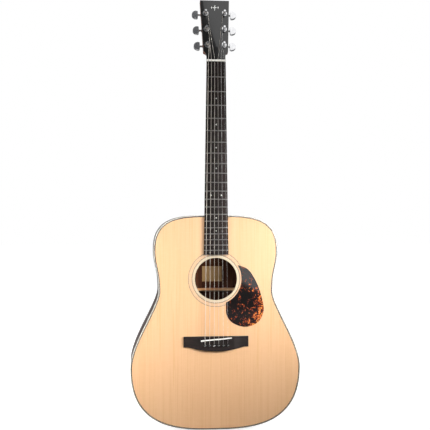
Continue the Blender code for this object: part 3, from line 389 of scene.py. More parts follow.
def wound_string(name, diameter):
    """Round-wound wire: fine turns across the string with painted shade in the grooves between
    them, a little tarnish along it.
    """
    graph = Graph(name, Metallic=0.35)
    turns = graph.add("ShaderNodeTexWave", {"bands_direction": "Z"}, Vector=graph.coords,
                      Scale=0.314 / (diameter * 0.42), Distortion=0.0).outputs["Fac"]
    tarnish = graph.grain((60, 60, 24), 3.0, 0.6)
    color = graph.ramp(tarnish, (0.30, (0.60, 0.55, 0.49)), (0.70, (0.76, 0.71, 0.65)))
    # Painted shade: the grooves between the turns are darkened.
    color = graph.tint(color, (0.42, 0.36, 0.31), turns, least=0.25)
    return graph.finish(color, graph.spread(tarnish, 0.34, 0.46), turns, 0.25, diameter * 0.10)


def pearl(name):
    graph = Graph(name, **{"Coat Weight": 0.8, "Coat Roughness": 0.04})
    sheen = graph.grain((260, 260, 120), 3.0, 0.5, 2.5)
    color = graph.ramp(sheen, (0.30, (0.72, 0.74, 0.70)), (0.45, (0.86, 0.83, 0.78)),
                       (0.60, (0.70, 0.80, 0.78)), (0.78, (0.90, 0.86, 0.84)))
    return graph.finish(color, graph.spread(sheen, 0.12, 0.25), sheen, 0.03)


def label_paper(name):
    """Blank cream paper, a little stained."""
    graph = Graph(name)
    fibres = graph.grain(900, 3.0, 0.6)
    color = graph.ramp(graph.grain(30, 3.0, 0.6), (0.3, (0.31, 0.23, 0.12)),
                       (0.7, (0.38, 0.29, 0.17)))
    return graph.finish(color, graph.spread(fibres, 0.7, 0.9), fibres, 0.15)


# Each look is a material and the slot it belongs to.
LOOKS = {
    "spruce": (spruce("spruce_top"), "spruce"),
    # Spruce inside the body is painted darker, as shade inside the body.
    "inner_spruce": (spruce("spruce_inside", False, 0.82, 0.0), "spruce"),
    "rosewood_back": (rosewood("rosewood_back", (330, 330, 12), True), "rosewood"),
    # The inside of the back is painted darker, as shade inside the body.
    "rosewood_inside": (rosewood("rosewood_inside", (330, 330, 12), True, True), "rosewood"),
    "rosewood_side": (rosewood("rosewood_side", (10, 330, 10)), "rosewood"),
    "mahogany": (mahogany("mahogany"), "mahogany"),
    "maple": (maple("maple"), "maple"),
    "ebony": (ebony("ebony"), "ebony"),
    "ebony_bridge": (ebony("ebony_bridge", (26, 700, 700), 0.38), "ebony"),
    "rosette_wood": (rosette_wood("rosette_wood"), "rosette_wood"),
    "binding": (cream_plastic("binding_cream", (0.72, 0.69, 0.62)), "binding"),
    "hole_cream": (cream_plastic("hole_cream", (0.62, 0.52, 0.37)), "binding"),
    "dark_line": (black_plastic("dark_line"), "black_line"),
    "brown_line": (rosewood("brown_line", (330, 330, 330)), "black_line"),
    "bone": (bone("bone"), "bone"),
    "tortoise": (tortoise("tortoise"), "tortoise_plastic"),
    "lacquer": (lacquer("black_lacquer"), "black_veneer"),
    "black_plastic": (black_plastic("black_plastic"), "black_plastic"),
    "chrome": (metal("chrome", (0.86, 0.86, 0.87), 0.04, 0.10), "chrome"),
    "steel": (metal("steel", (0.52, 0.52, 0.53), 0.28, 0.45, (900, 900, 60), 0.1), "steel"),
    "fret": (metal("fret_nickel", (0.35, 0.335, 0.325), 0.26, 0.40, (30, 900, 900), 0.06),
             "fret_metal"),
    "plain_string": (metal("plain_string", (0.92, 0.91, 0.89), 0.22, 0.34, (900, 900, 90), 0.05,
                           0.35), "plain_steel"),
    "pearl": (pearl("pearl"), "pearl"),
    "paper": (label_paper("label_paper"), "label_paper"),
}
STRING_LOOKS = ["plain_string"] * len(STRING_NAMES)
for number, (string, diameter) in enumerate(zip(STRING_NAMES[:4], STRING_DIAMETERS)):
    STRING_LOOKS[number] = "wound_" + string
    LOOKS["wound_" + string] = (wound_string("wound_" + string, diameter), "wound_bronze")


# ---------------------------------------------------------------- piece helpers

def linked(name, data):
    """A new object in the scene."""
    thing = bpy.data.objects.new(name, data)
    bpy.context.scene.collection.objects.link(thing)
    return thing


def paint(data, look):
    data.materials.clear()
    data.materials.append(LOOKS[look][0])


def smoothed(mesh, angle):
    mesh.shade_smooth()
    mesh.set_sharp_from_angle(angle=radians(angle))


def dress(node, look):
    """Give a CAD node that stays its finished material."""
    paint(NODES[node].data, look)
    smoothed(NODES[node].data, 35)


def piece(name, mesh, look, body=ROOT, replaces=(), matrix=None, smooth=35):
    """A finished object that rides on a body."""
    thing = linked(name, mesh)
    paint(mesh, look)
    if isinstance(mesh, bpy.types.Mesh):
        smoothed(mesh, smooth)
        thing.modifiers.new("normals", "WEIGHTED_NORMAL").keep_sharp = True
    if matrix is not None:
        thing.matrix_world = matrix
    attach(thing, body)
    if replaces:
        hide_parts(*replaces)
    return thing


def from_bmesh(bm, name, recalc=True):
    if recalc:
        bmesh.ops.recalc_face_normals(bm, faces=bm.faces)
    mesh = bpy.data.meshes.new(name)
    bm.to_mesh(mesh)
    bm.free()
    return mesh


def evaluated(thing):
    """The welded mesh of a temporary object with its modifiers applied."""
    bpy.context.view_layer.update()
    graph = bpy.context.evaluated_depsgraph_get()
    mesh = bpy.data.meshes.new_from_object(thing.evaluated_get(graph), depsgraph=graph)
    bpy.data.objects.remove(thing)
    bm = bmesh.new()
    bm.from_mesh(mesh)
    bmesh.ops.remove_doubles(bm, verts=bm.verts, dist=WELD)
    bm.to_mesh(mesh)
    bm.free()
    return mesh


def bevelled(mesh, width, segments=3, angle=30):
    thing = linked("temporary", mesh)
    mod = thing.modifiers.new("edge", "BEVEL")
    mod.width = width
    mod.segments = segments
    mod.angle_limit = radians(angle)
    return evaluated(thing)


def carved(mesh, cutters):
    """The mesh with each cutter mesh taken away from it."""
    thing = linked("temporary", mesh)
    tools = [linked("temporary", cutter) for cutter in cutters]
    for tool in tools:
        mod = thing.modifiers.new("cut", "BOOLEAN")
        mod.solver = "EXACT"
        mod.object = tool
    result = evaluated(thing)
    for tool in tools:
        bpy.data.objects.remove(tool)
    return result


def cylinder(radius, start, end, segments=32):
    start = Vector(start)
    axis = Vector(end) - start
    turn = axis.to_track_quat("Z", "Y").to_matrix().to_4x4()
    bm = bmesh.new()
    bmesh.ops.create_cone(bm, cap_ends=True, segments=segments, radius1=radius, radius2=radius,
                          depth=axis.length, matrix=Matrix.Translation(start + axis / 2) @ turn)
    return from_bmesh(bm, "cylinder")


def block(low, high):
    size = Vector(high) - Vector(low)
    middle = (Vector(high) + Vector(low)) / 2
    bm = bmesh.new()
    bmesh.ops.create_cube(bm, size=1, matrix=Matrix.Translation(middle)
                          @ Matrix.Diagonal((*size, 1)))
    return from_bmesh(bm, "block")


def loft(name, rings, closed=False):
    """Skin rings of equal length, capped at both ends; closed joins the last to the first."""
    bm = bmesh.new()
    rows = [[bm.verts.new(point) for point in ring] for ring in rings]
    count = len(rows[0])
    pairs = list(zip(rows, rows[1:]))
    if closed:
        pairs.append((rows[-1], rows[0]))
    for lower, upper in pairs:
        for i in range(count):
            j = (i + 1) % count
            bm.faces.new((lower[i], lower[j], upper[j], upper[i]))
    if not closed:
        bm.faces.new(rows[0])
        bm.faces.new(rows[-1])
    return from_bmesh(bm, name)


def directions(steps):
    """Cosine and sine at each step of a full turn."""
    return [(cos(2 * pi * i / steps), sin(2 * pi * i / steps)) for i in range(steps)]


def turned(name, profile, steps=40):
    """A solid of revolution about Z from (radius, height) points, axis to axis."""
    return loft(name, [[(max(r, 0.00001) * c, max(r, 0.00001) * s, height)
                        for c, s in directions(steps)] for r, height in profile])


def rounded(points):
    """A profile with its inner corners replaced by short quadratic curves."""
    steps = 4
    result = [points[0]]
    for before, corner, after in zip(points, points[1:], points[2:]):
        for i in range(steps + 1):
            t = i / steps
            first = [(b + c) / 2 for b, c in zip(before, corner)]
            last = [(c + a) / 2 for c, a in zip(corner, after)]
            result.append(tuple((1 - t) ** 2 * f + 2 * t * (1 - t) * c + t * t * l
                                for f, c, l in zip(first, corner, last)))
    result.append(points[-1])
    return result


def merged(name, meshes):
    bm = bmesh.new()
    for mesh in meshes:
        bm.from_mesh(mesh)
    return from_bmesh(bm, name, recalc=False)


def moved(mesh, matrix):
    mesh = mesh.copy()
    mesh.transform(matrix)
    if matrix.determinant() < 0:
        mesh.flip_normals()
    return mesh


def flat_sheet(name, loops, thickness):
    """A flat plate in XY, filled inside the first loop with the others as holes."""
    curve = bpy.data.curves.new(name, "CURVE")
    curve.dimensions = "2D"
    curve.fill_mode = "BOTH"
    curve.extrude = thickness / 2
    for loop in loops:
        spline = curve.splines.new("POLY")
        spline.points.add(len(loop) - 1)
        for point, (across, up) in zip(spline.points, loop):
            point.co = (across, up, 0, 1)
        spline.use_cyclic_u = True
    return evaluated(linked("temporary", curve))


def upright_sheet(name, loops, front, thickness):
    mesh = flat_sheet(name, loops, thickness)
    mesh.transform(Matrix.Translation((0, front + thickness / 2, 0)) @ UPRIGHT)
    return mesh


def smooth_through(points, steps):
    """A Catmull-Rom curve through a list of points."""
    padded = [points[0], *points, points[-1]]
    result = []
    for p0, p1, p2, p3 in zip(padded, padded[1:], padded[2:], padded[3:]):
        for i in range(steps):
            t = i / steps
            result.append(tuple(
                0.5 * (2 * b + (c - a) * t + (2 * a - 5 * b + 4 * c - d) * t * t
                       + (3 * b - a - 3 * c + d) * t ** 3)
                for a, b, c, d in zip(p0, p1, p2, p3)))
    return result + [tuple(points[-1])]


# ---------------------------------------------------------------- body outline

def back_y(z):
    return TOP_Y + DEPTH_AT_TAIL - TAPER * (z - BODY_BOTTOM)


def outline_spans():
    spans = []
    start, handle = (0.0, 0.0), (TAIL_HANDLE, 0.0)
    for width, height, below, above in (LOWER_BOUT, WAIST, UPPER_BOUT):
        spans.append((start, handle, (width, height - below), (width, height)))
        start, handle = (width, height), (width, height + above)
    spans.append((start, handle, (SHOULDER_HANDLE, BODY_LENGTH), (0.0, BODY_LENGTH)))
    return spans


def half_outline():
    """(x, z, inward x, inward z) along the treble half, tail centre to neck centre."""
    points = []
    spans = outline_spans()
    for number, ((a, b, c, d), steps) in enumerate(zip(spans, SPAN_STEPS)):
        last = number == len(spans) - 1
        for i in range(steps + (1 if last else 0)):
            t = i / steps
            u = 1 - t
            x, z = (u ** 3 * p + 3 * u * u * t * q + 3 * u * t * t * r + t ** 3 * s
                    for p, q, r, s in zip(a, b, c, d))
            dx, dz = (u * u * (q - p) + 2 * u * t * (r - q) + t * t * (s - r)
                      for p, q, r, s in zip(a, b, c, d))
            length = hypot(dx, dz)
            points.append((x, above_tail(z), -dz / length, dx / length))
    return points


HALF_OUTLINE = half_outline()
OUTLINE = HALF_OUTLINE + [(-x, z, -nx, nz) for x, z, nx, nz in reversed(HALF_OUTLINE[1:-1])]


def inset_loop(inset):
    return [(x + inset * nx, z + inset * nz) for x, z, nx, nz in OUTLINE]


def ring_round_body(name, section, path=None, closed=True):
    """Sweep (inset, share of the depth, offset) points along the body's outline."""
    rings = []
    for x, z, nx, nz in path or OUTLINE:
        depth = back_y(z) - TOP_Y
        rings.append([(x + inset * nx, TOP_Y + share * depth + offset, z + inset * nz)
                      for inset, share, offset in section])
    return loft(name, rings, closed=closed)


def circle_ring(name, inner, outer, front, thickness, edge=0.0):
    """A flat ring round the soundhole; edge rounds its front corners."""
    section = [(inner, thickness), (inner, edge), (inner + edge, 0.0),
               (outer - edge, 0.0), (outer, edge), (outer, thickness)]
    if edge == 0.0:
        section = [(inner, thickness), (inner, 0.0), (outer, 0.0), (outer, thickness)]
    return loft(name, [[(radius * c, front + depth, HOLE_CENTRE[1] + radius * s)
                        for radius, depth in section] for c, s in directions(128)], closed=True)


# ---------------------------------------------------------------- body shell

def make_soundboard():
    """The top as one flat sheet between its purfling and the soundhole ring."""
    steps = 10
    back = TOP_Y + BOARD_THICKNESS
    rings = []
    for x, z in inset_loop(BINDING_WIDTH + PURFLING_WIDTH):
        dx, dz = x, z - HOLE_CENTRE[1]
        reach = hypot(dx, dz)
        radii = [ROSETTE_OUTER + (reach - ROSETTE_OUTER) * k / steps for k in range(steps + 1)]
        row = [(dx / reach * r, HOLE_CENTRE[1] + dz / reach * r) for r in radii]
        rings.append([(x, TOP_Y, z) for x, z in row] + [(x, back, z) for x, z in reversed(row)])
    mesh = loft("soundboard_plate", rings, closed=True)
    piece("soundboard_plate", mesh, "spruce", replaces=("soundboard",))
    under = circle_ring("rosette_bed", HOLE_RING, ROSETTE_OUTER, TOP_Y + ROSETTE_BED,
                        BOARD_THICKNESS - ROSETTE_BED)
    piece("rosette_bed", under, "spruce")


def make_trim():
    """Binding with a rounded outer corner and two dark lines inside it, front and back."""
    width = BINDING_WIDTH
    arc = [(BINDING_CORNER * (1 - cos(a)), BINDING_CORNER * (1 - sin(a))) for a in QUARTER_TURN]
    lines = (("outer", width, PURFLING_LINE, "dark_line"),
             ("gap", width + PURFLING_LINE, PURFLING_GAP, "binding"),
             ("inner", width + PURFLING_LINE + PURFLING_GAP, PURFLING_LINE, "dark_line"))
    for face, share, inward in (("top", 0, 1), ("back", 1, -1)):
        section = [(width, share, inward * BINDING_DEPTH), (0, share, inward * BINDING_DEPTH)]
        section += [(inset, share, inward * depth) for inset, depth in arc] + [(width, share, 0)]
        name = f"{face}_binding_strip"
        piece(name, ring_round_body(name, section), "binding", replaces=(f"{face}_binding",),
              smooth=50)
        depth = inward * PURFLING_DEPTH
        for part, start, wide, look in lines:
            section = [(start, share, depth), (start, share, 0), (start + wide, share, 0),
                       (start + wide, share, depth)]
            name = f"{face}_purfling_{part}"
            piece(name, ring_round_body(name, section), look)


def make_sides():
    """Two bent ribs that meet with a hairline seam at the tail and the neck."""
    seam = 0.0001
    for name, hand in (("side_bass", -1), ("side_treble", 1)):
        path = [(hand * max(x, seam), z, hand * nx, nz) for x, z, nx, nz in HALF_OUTLINE]
        section = [(0, 0, BINDING_DEPTH), (0, 1, -BINDING_DEPTH),
                   (SIDE_THICKNESS, 1, -BINDING_DEPTH), (SIDE_THICKNESS, 0, BINDING_DEPTH)]
        mesh = ring_round_body(name + "_rib", section, path, closed=False)
        piece(name + "_rib", mesh, "rosewood_side", replaces=(name,))


def back_surface(z, share):
    """Height of the arched back, a share of the way from its centre to its rim."""
    return back_y(z) + BACK_ARCH * (1 - share ** 2)


def make_back():
    """The arched back: rings shrinking to the middle, thickened inwards."""
    rim = inset_loop(BINDING_WIDTH + PURFLING_WIDTH)
    centre_z = above_tail(ARCH_CENTRE)
    rings = 14
    bm = bmesh.new()
    rows = []
    for k in range(rings, 0, -1):
        share = k / rings
        row = [(x * share, centre_z + (z - centre_z) * share) for x, z in rim]
        rows.append([bm.verts.new((x, back_surface(z, share), z)) for x, z in row])
    centre = bm.verts.new((0, back_surface(centre_z, 0), centre_z))
    count = len(rim)
    for i in range(count):
        j = (i + 1) % count
        for outer, inner in zip(rows, rows[1:]):
            bm.faces.new((outer[j], outer[i], inner[i], inner[j]))
        bm.faces.new((rows[-1][j], rows[-1][i], centre))
    thing = linked("temporary", from_bmesh(bm, "back_board"))
    shell = thing.modifiers.new("thickness", "SOLIDIFY")
    shell.thickness = BOARD_THICKNESS
    shell.offset = -1
    board = piece("back_board", evaluated(thing), "rosewood_back", replaces=("back_plate",))
    board.data.materials.append(LOOKS["rosewood_inside"][0])
    for face in board.data.polygons:
        face.material_index = 1 if face.normal.y < -0.5 else 0
    make_back_strip()


def make_back_strip():
    """A cream line between two dark ones down the back's centre joint."""
    steps, depth, half, side = 40, 0.0008, 0.0012, 0.0020
    start = above_tail(BINDING_WIDTH + PURFLING_WIDTH)
    end = above_tail(BODY_LENGTH - BINDING_WIDTH - PURFLING_WIDTH)
    middle = above_tail(ARCH_CENTRE)
    for name, low, high, look, lift in (
            ("back_strip", -half, half, "binding", 0.00012),
            ("back_strip_bass", -side, -half, "dark_line", 0.00010),
            ("back_strip_treble", half, side, "dark_line", 0.00010)):
        sections = []
        for i in range(steps + 1):
            z = start + (end - start) * i / steps
            edge = above_tail(0) if z < middle else above_tail(BODY_LENGTH)
            y = back_surface(z, abs(z - middle) / abs(edge - middle)) + lift
            sections.append([(low, y, z), (high, y, z), (high, y - depth, z),
                             (low, y - depth, z)])
        piece(name, loft(name, sections), look)


def make_soundhole():
    """Cream ring, then a pale wood ring between two pairs of thin brown lines."""
    depth = 0.0011
    cream_edge = ROSETTE_INNER - 0.0005
    wood_inner, wood_outer = cream_edge + 0.0018, ROSETTE_OUTER - 0.0015
    cream = circle_ring("hole_ring", HOLE_RADIUS, HOLE_RING, TOP_Y, BOARD_THICKNESS, edge=0.0004)
    piece("hole_ring", cream, "hole_cream", replaces=("soundhole_binding",))
    rings = [("hole_ring_rim", HOLE_RING, cream_edge, "hole_cream", ()),
             ("rosette_ring", wood_inner, wood_outer, "rosette_wood", ("rosette",))]
    for side, inner, outer, share in (("inner", cream_edge, wood_inner, 0.35),
                                      ("outer", wood_outer, ROSETTE_OUTER, 0.33)):
        line = (outer - inner) * share
        rings += [(f"rosette_{side}_first", inner, inner + line, "brown_line", ()),
                  (f"rosette_{side}_gap", inner + line, outer - line, "hole_cream", ()),
                  (f"rosette_{side}_last", outer - line, outer, "brown_line", ())]
    for name, inner, outer, look, nodes in rings:
        piece(name, circle_ring(name, inner, outer, TOP_Y, depth), look, replaces=nodes)


def make_pickguard():
    """A teardrop plate whose inner edge follows the rosette."""
    outer = [(0.0516, 0.0326), (0.0770, 0.0220), (0.0970, -0.0090), (0.1095, -0.0450),
             (0.1138, -0.0760), (0.1005, -0.1030), (0.0717, -0.1140), (0.0410, -0.1050),
             (0.0255, -0.0850), (0.0239, -0.0556)]
    first, last = (atan2(z, x) for x, z in (outer[-1], outer[0]))
    first_radius, last_radius = hypot(*outer[-1]), hypot(*outer[0])
    steps, thickness = 40, 0.0009
    arc = []
    for share in (i / steps for i in range(1, steps)):
        r = first_radius + (last_radius - first_radius) * share
        angle = first + (last - first) * share
        arc.append((r * cos(angle), r * sin(angle)))
    loop = [(x, z + HOLE_CENTRE[1]) for x, z in smooth_through(outer, 10) + arc]
    mesh = upright_sheet("pickguard_plate", [loop], TOP_Y - thickness, thickness)
    piece("pickguard_plate", bevelled(mesh, 0.0003, 2, 40), "tortoise", replaces=("pickguard",))


# ---------------------------------------------------------------- bridge

BRIDGE_THICKNESS = BRIDGE_HIGH.y - BRIDGE_LOW.y
PIN_Z = above_tail(0.200)
PIN_HOLE_RADIUS = 0.00285
BELLY_HALF_WIDTH = 0.067
BELLY_POWER = 1.08
WING_Z = above_tail(0.1962)
WING_THICKNESS = 0.0042
SCOOP_START, SCOOP_END = 0.043, 0.064
SCOOP_POWER = 2.2
WING_FALL = 0.02


def across(number, spacing):
    """Where a string stands across the guitar."""
    return (number - 2.5) * spacing


def bridge_span(x):
    """Lower and upper edge of the bridge at a distance from the centre."""
    swell = max(0.0, 1 - (x / BELLY_HALF_WIDTH) ** 2)
    return WING_Z + (BRIDGE_LOW.z - WING_Z) * swell ** BELLY_POWER, BRIDGE_HIGH.z


def bridge_height(x):
    """Thickness of the bridge: flat over the saddle, scooped down to thin wing ends."""
    x = abs(x)
    if x <= SCOOP_START:
        return BRIDGE_THICKNESS
    if x >= SCOOP_END:
        return WING_THICKNESS - (x - SCOOP_END) * WING_FALL
    t = (x - SCOOP_START) / (SCOOP_END - SCOOP_START)
    return BRIDGE_THICKNESS + (WING_THICKNESS - BRIDGE_THICKNESS) * (1 - (1 - t) ** SCOOP_POWER)


def make_bridge():
    half, base = BRIDGE_HIGH.x, BRIDGE_HIGH.y
    steps, edge, belly_edge = 72, 0.0011, 0.0030
    rings = []
    for i in range(steps + 1):
        x = -half + 2 * half * i / steps
        low, high = bridge_span(x)
        height = bridge_height(x)
        lower, upper = ([(z + wide * (1 - cos(a)), height - tall * (1 - sin(a)))
                         for a in QUARTER_TURN]
                        for z, wide, tall in ((low, belly_edge, height * 0.5),
                                              (high, -edge, edge)))
        section = [(low, 0.0), *lower, *reversed(upper), (high, 0.0)]
        rings.append([(x, base - lift, z) for z, lift in section])
    tools = []
    front, back = base - BRIDGE_THICKNESS - 0.002, base + 0.001
    for number, diameter in enumerate(STRING_DIAMETERS):
        x = across(number, SADDLE_SPACING)
        reach = diameter / 2 + SLOT_CLEARANCE
        tools.append(cylinder(PIN_HOLE_RADIUS, (x, front, PIN_Z), (x, back, PIN_Z)))
        tools.append(block((x - reach, front, PIN_Z), (x + reach, back, PIN_Z + 0.0042)))
    mesh = carved(loft("bridge_block", rings), tools)
    piece("bridge_block", mesh, "ebony_bridge", replaces=("bridge",), smooth=40)
    dress("saddle", "bone")
    mod = NODES["saddle"].modifiers.new("rounded", "BEVEL")
    mod.width = 0.0009
    mod.segments = 3
    for number, string in enumerate(STRING_NAMES):
        make_pin(number, string)


def make_pin(number, string):
    """A turned pin with a groove for its string and a pearl dot in its head."""
    base = BRIDGE_THICKNESS + 0.0006
    profile = [(0.0000, -0.0240), (0.0019, -0.0240), (0.0022, -0.0235), (0.0025, -0.0100),
               (0.0025, 0.0000), (0.0034, 0.0000), (0.0038, 0.0006), (0.0037, 0.0013),
               (0.0032, 0.0022), (0.0024, 0.0029), (0.0012, 0.0033), (0.0000, 0.0034)]
    mesh = turned("bridge_pin", [(r, base + height) for r, height in profile], 36)
    groove = STRING_DIAMETERS[number] / 2 + SLOT_CLEARANCE
    tool = block((-groove, 0.0026 - groove, -0.03), (groove, 0.006, base - 0.0001))
    place = Matrix.Translation((across(number, SADDLE_SPACING), TOP_Y, PIN_Z)) @ UPRIGHT
    body = "bridge_pin_" + string
    piece("pin_" + string, carved(mesh, [tool]), "black_plastic", body, (body,), place)
    profile = [(0, 0.0030), (0.0005, 0.0030), (0.0005, 0.0034), (0.0003, 0.0036), (0, 0.0037)]
    dot = turned("pin_dot", [(r, base + height) for r, height in profile], 24)
    piece("pin_dot_" + string, dot, "pearl", body, (), place)


# ---------------------------------------------------------------- neck

def board_half_width(z):
    share = (NUT_LOW.z - z) / (NUT_LOW.z - BOARD_END_Z)
    return NUT_HALF_WIDTH + (BOARD_END_HALF_WIDTH - NUT_HALF_WIDTH) * share


def headstock_half_width(distance):
    """Half width at a distance from the nut, up the headstock's face."""
    if distance <= SHOULDER_START:
        return NUT_HALF_WIDTH
    if distance < SHOULDER_END:
        share = (distance - SHOULDER_START) / (SHOULDER_END - SHOULDER_START)
        swell = 1 - (1 - share ** 2.4) ** 0.75
        return NUT_HALF_WIDTH + (HEADSTOCK_BASE_HALF - NUT_HALF_WIDTH) * swell
    share = (distance - SHOULDER_END) / (HEADSTOCK_LENGTH - SHOULDER_END)
    return HEADSTOCK_BASE_HALF + (HEADSTOCK_TOP_HALF - HEADSTOCK_BASE_HALF) * share


def headstock_frame():
    """Frame on the headstock's face: X across, Y up from the nut, Z out of the face."""
    right = Vector((1, 0, 0))
    upward = Vector((0, sin(HEADSTOCK_TILT), cos(HEADSTOCK_TILT)))
    place = Matrix((right, upward, right.cross(upward))).transposed().to_4x4()
    place.translation = (0, TOP_Y, NUT_LOW.z + 0.005)
    return place


HEAD = headstock_frame()
HEEL_DEPTH = 0.095
HEEL_POWER = 0.60
HEEL_NARROWING = 0.42
HEEL_CAP_TOP = 0.022
HEEL_SWEEP = 0.048
NECK_DEPTH_LOW, NECK_DEPTH_HIGH = 0.0185, 0.0150
NECK_POWER = 0.85
RING_ARC = 32


def neck_section(half, depth, power, squareness, narrowing=0.0):
    """(across, depth) points: flat front, back rounded or square, narrowing with depth."""
    points = []
    for i in range(RING_ARC + 1):
        angle = pi * i / RING_ARC
        side = (RING_ARC / 2 - i) / (RING_ARC / 2)
        round_x, round_y = half * cos(angle), depth * sin(angle) ** power
        square_x = half * max(-1, min(1, 2 * side))
        square_y = depth * min(1, 2 * (1 - abs(side)))
        x = round_x + (square_x - round_x) * squareness
        y = round_y + (square_y - round_y) * squareness
        points.append((x * (1 - narrowing * y / HEEL_DEPTH), y))
    return points


def neck_rings():
    """Sections from the heel up the neck and over the headstock."""
    rings = []

    def add_section(z, half, depth, power, narrowing=0.0):
        rings.append([(x, TOP_Y + y, z)
                      for x, y in neck_section(half, depth, power, 0.0, narrowing)])

    joint = above_tail(BODY_LENGTH) + 0.0001
    steps = [HEEL_CAP_TOP * share for share in (0.0, 0.5, 0.85, 1.0)]
    steps += [HEEL_CAP_TOP + HEEL_SWEEP * (1 - cos(pi / 2 * i / 16)) for i in range(1, 17)]
    for step in steps:
        curve = max(0.0, min(1.0, (HEEL_CAP_TOP + HEEL_SWEEP - step) / HEEL_SWEEP))
        share = 1 - (1 - curve * curve) ** 0.5
        add_section(joint + step, board_half_width(joint + step),
                    NECK_DEPTH_LOW + (HEEL_DEPTH - NECK_DEPTH_LOW) * share,
                    NECK_POWER + (HEEL_POWER - NECK_POWER) * share, HEEL_NARROWING * share)
    start = joint + HEEL_CAP_TOP + HEEL_SWEEP
    for i in range(1, 13):
        z = start + (HEAD.translation.z - start) * i / 12
        add_section(z, board_half_width(min(z, NUT_LOW.z)),
                    NECK_DEPTH_LOW + (NECK_DEPTH_HIGH - NECK_DEPTH_LOW) * i / 12, NECK_POWER)
    for level in [0.003, *shoulder_levels(16), 0.032, 0.060, HEADSTOCK_LENGTH]:
        squareness = min(1.0, level / SHOULDER_END) ** 1.5
        depth = NECK_DEPTH_HIGH + (HEADSTOCK_THICKNESS - NECK_DEPTH_HIGH) * squareness
        flat = neck_section(headstock_half_width(level), depth, NECK_POWER, squareness)
        rings.append([HEAD @ Vector((x, level, -y)) for x, y in flat])
    return rings


def shoulder_levels(steps):
    return [SHOULDER_START + (SHOULDER_END - SHOULDER_START) * i / steps
            for i in range(steps + 1)]


def tuner_places():
    """(string, its number, frame at its post, hand) for each tuning machine."""
    places = []
    for number, row in enumerate((0, 1, 2, 2, 1, 0)):
        hand = -1 if number < 3 else 1
        spot = Matrix.Translation((hand * POST_HALF_SPREADS[row], POST_DISTANCES[row], 0))
        places.append((STRING_NAMES[number], number, HEAD @ spot, hand))
    return places


def bores():
    return [moved(cylinder(0.0050, (0, 0, -0.02), (0, 0, 0.006)), place)
            for _, _, place, _ in tuner_places()]


def make_neck():
    mesh = carved(loft("neck_wood", neck_rings()), bores())
    piece("neck_wood", mesh, "mahogany", replaces=("neck",), smooth=40)
    base = above_tail(BODY_LENGTH)
    heel = neck_section(board_half_width(base), HEEL_DEPTH, HEEL_POWER, 0.0, HEEL_NARROWING)
    half = max(abs(x) for x, y in heel if y > 0.080)
    steps = 24
    loop = [(half * cos(pi * i / steps), base + 0.0002 + 0.0215 * sin(pi * i / steps) ** 0.6)
            for i in range(steps + 1)]
    cap = upright_sheet("heel_cap", [loop], TOP_Y + 0.0948, 0.0022)
    piece("heel_cap", bevelled(cap, 0.0005, 2, 40), "binding")


def make_veneer():
    levels = [0.0003, *shoulder_levels(20), HEADSTOCK_LENGTH]
    half = [(headstock_half_width(level), level) for level in levels]
    loop = half + [(-x, level) for x, level in reversed(half)]
    mesh = bevelled(flat_sheet("headstock_face", [loop], VENEER_THICKNESS), 0.0005, 2, 40)
    mesh.transform(HEAD @ Matrix.Translation((0, 0, VENEER_THICKNESS / 2)))
    piece("headstock_face", carved(mesh, bores()), "lacquer", replaces=("headstock_veneer",))
    make_inlay()


def make_inlay():
    """A plain pearl diamond with a smaller one on each side."""
    level, thickness, proud, steps = 0.1350, 0.0004, 0.00012, 8
    for name, x, width, height in (("head_inlay", 0.0, 0.0048, 0.0080),
                                   ("head_inlay_bass", -0.0078, 0.0026, 0.0042),
                                   ("head_inlay_treble", 0.0078, 0.0026, 0.0042)):
        tips = ((width, 0), (0, height), (-width, 0), (0, -height))
        loop = []
        for start, end in zip(tips, tips[1:] + tips[:1]):
            for t in (i / steps for i in range(steps)):
                pinch = 1 - 0.35 * sin(pi * t)
                loop.append((x + pinch * (start[0] * (1 - t) + end[0] * t),
                             level + pinch * (start[1] * (1 - t) + end[1] * t)))
        mesh = flat_sheet(name, [loop], thickness)
        lift = VENEER_THICKNESS + proud - thickness / 2
        mesh.transform(HEAD @ Matrix.Translation((0, 0, lift)))
        piece(name, mesh, "pearl")


def fret_z(number):
    return NUT_LOW.z - SCALE_LENGTH * (1 - 2 ** (-number / 12))


BOARD_RADIUS = 0.400
BOARD_FACE = BOARD_LOW.y + 0.0011
GLUE_LINE = 0.00005
FRET_HALF_WIDTH = 0.00115
FRET_SLOPE = 0.0010


def board_y(x):
    """Surface of the cambered fretboard."""
    return BOARD_FACE + BOARD_RADIUS - sqrt(BOARD_RADIUS ** 2 - x * x)


def make_fretboard():
    steps, edge = 20, 0.0002
    rings = []
    for z in (BOARD_LOW.z, (BOARD_LOW.z + BOARD_HIGH.z) / 2, BOARD_HIGH.z):
        half = board_half_width(z)
        crown = [(-half + edge) + 2 * (half - edge) * i / steps for i in range(steps + 1)]
        rings.append([(-half, TOP_Y - GLUE_LINE, z), (-half, board_y(half) + edge, z),
                      *((x, board_y(x), z) for x in crown),
                      (half, board_y(half) + edge, z), (half, TOP_Y - GLUE_LINE, z)])
    piece("fretboard_wood", loft("fretboard_wood", rings), "ebony", replaces=("fretboard",))
    for number in range(1, FRET_COUNT + 1):
        make_fret(number)
    for number in (3, 5, 7, 9, 12, 15, 17):
        middle = (fret_z(number) + fret_z(number - 1)) / 2
        for count, x in enumerate((-0.0124, 0.0124) if number == 12 else (0,)):
            place = Matrix.Translation((x, board_y(x), middle)) @ UPRIGHT
            make_dot(f"fret_dot_{number}_{count}", FRET_DOT, 28, place)
        place = Matrix.Translation((-board_half_width(middle), TOP_Y - 0.0034, middle))
        make_dot(f"side_dot_{number}", SIDE_DOT, 20, place @ Matrix.Rotation(-pi / 2, 4, "Y"))


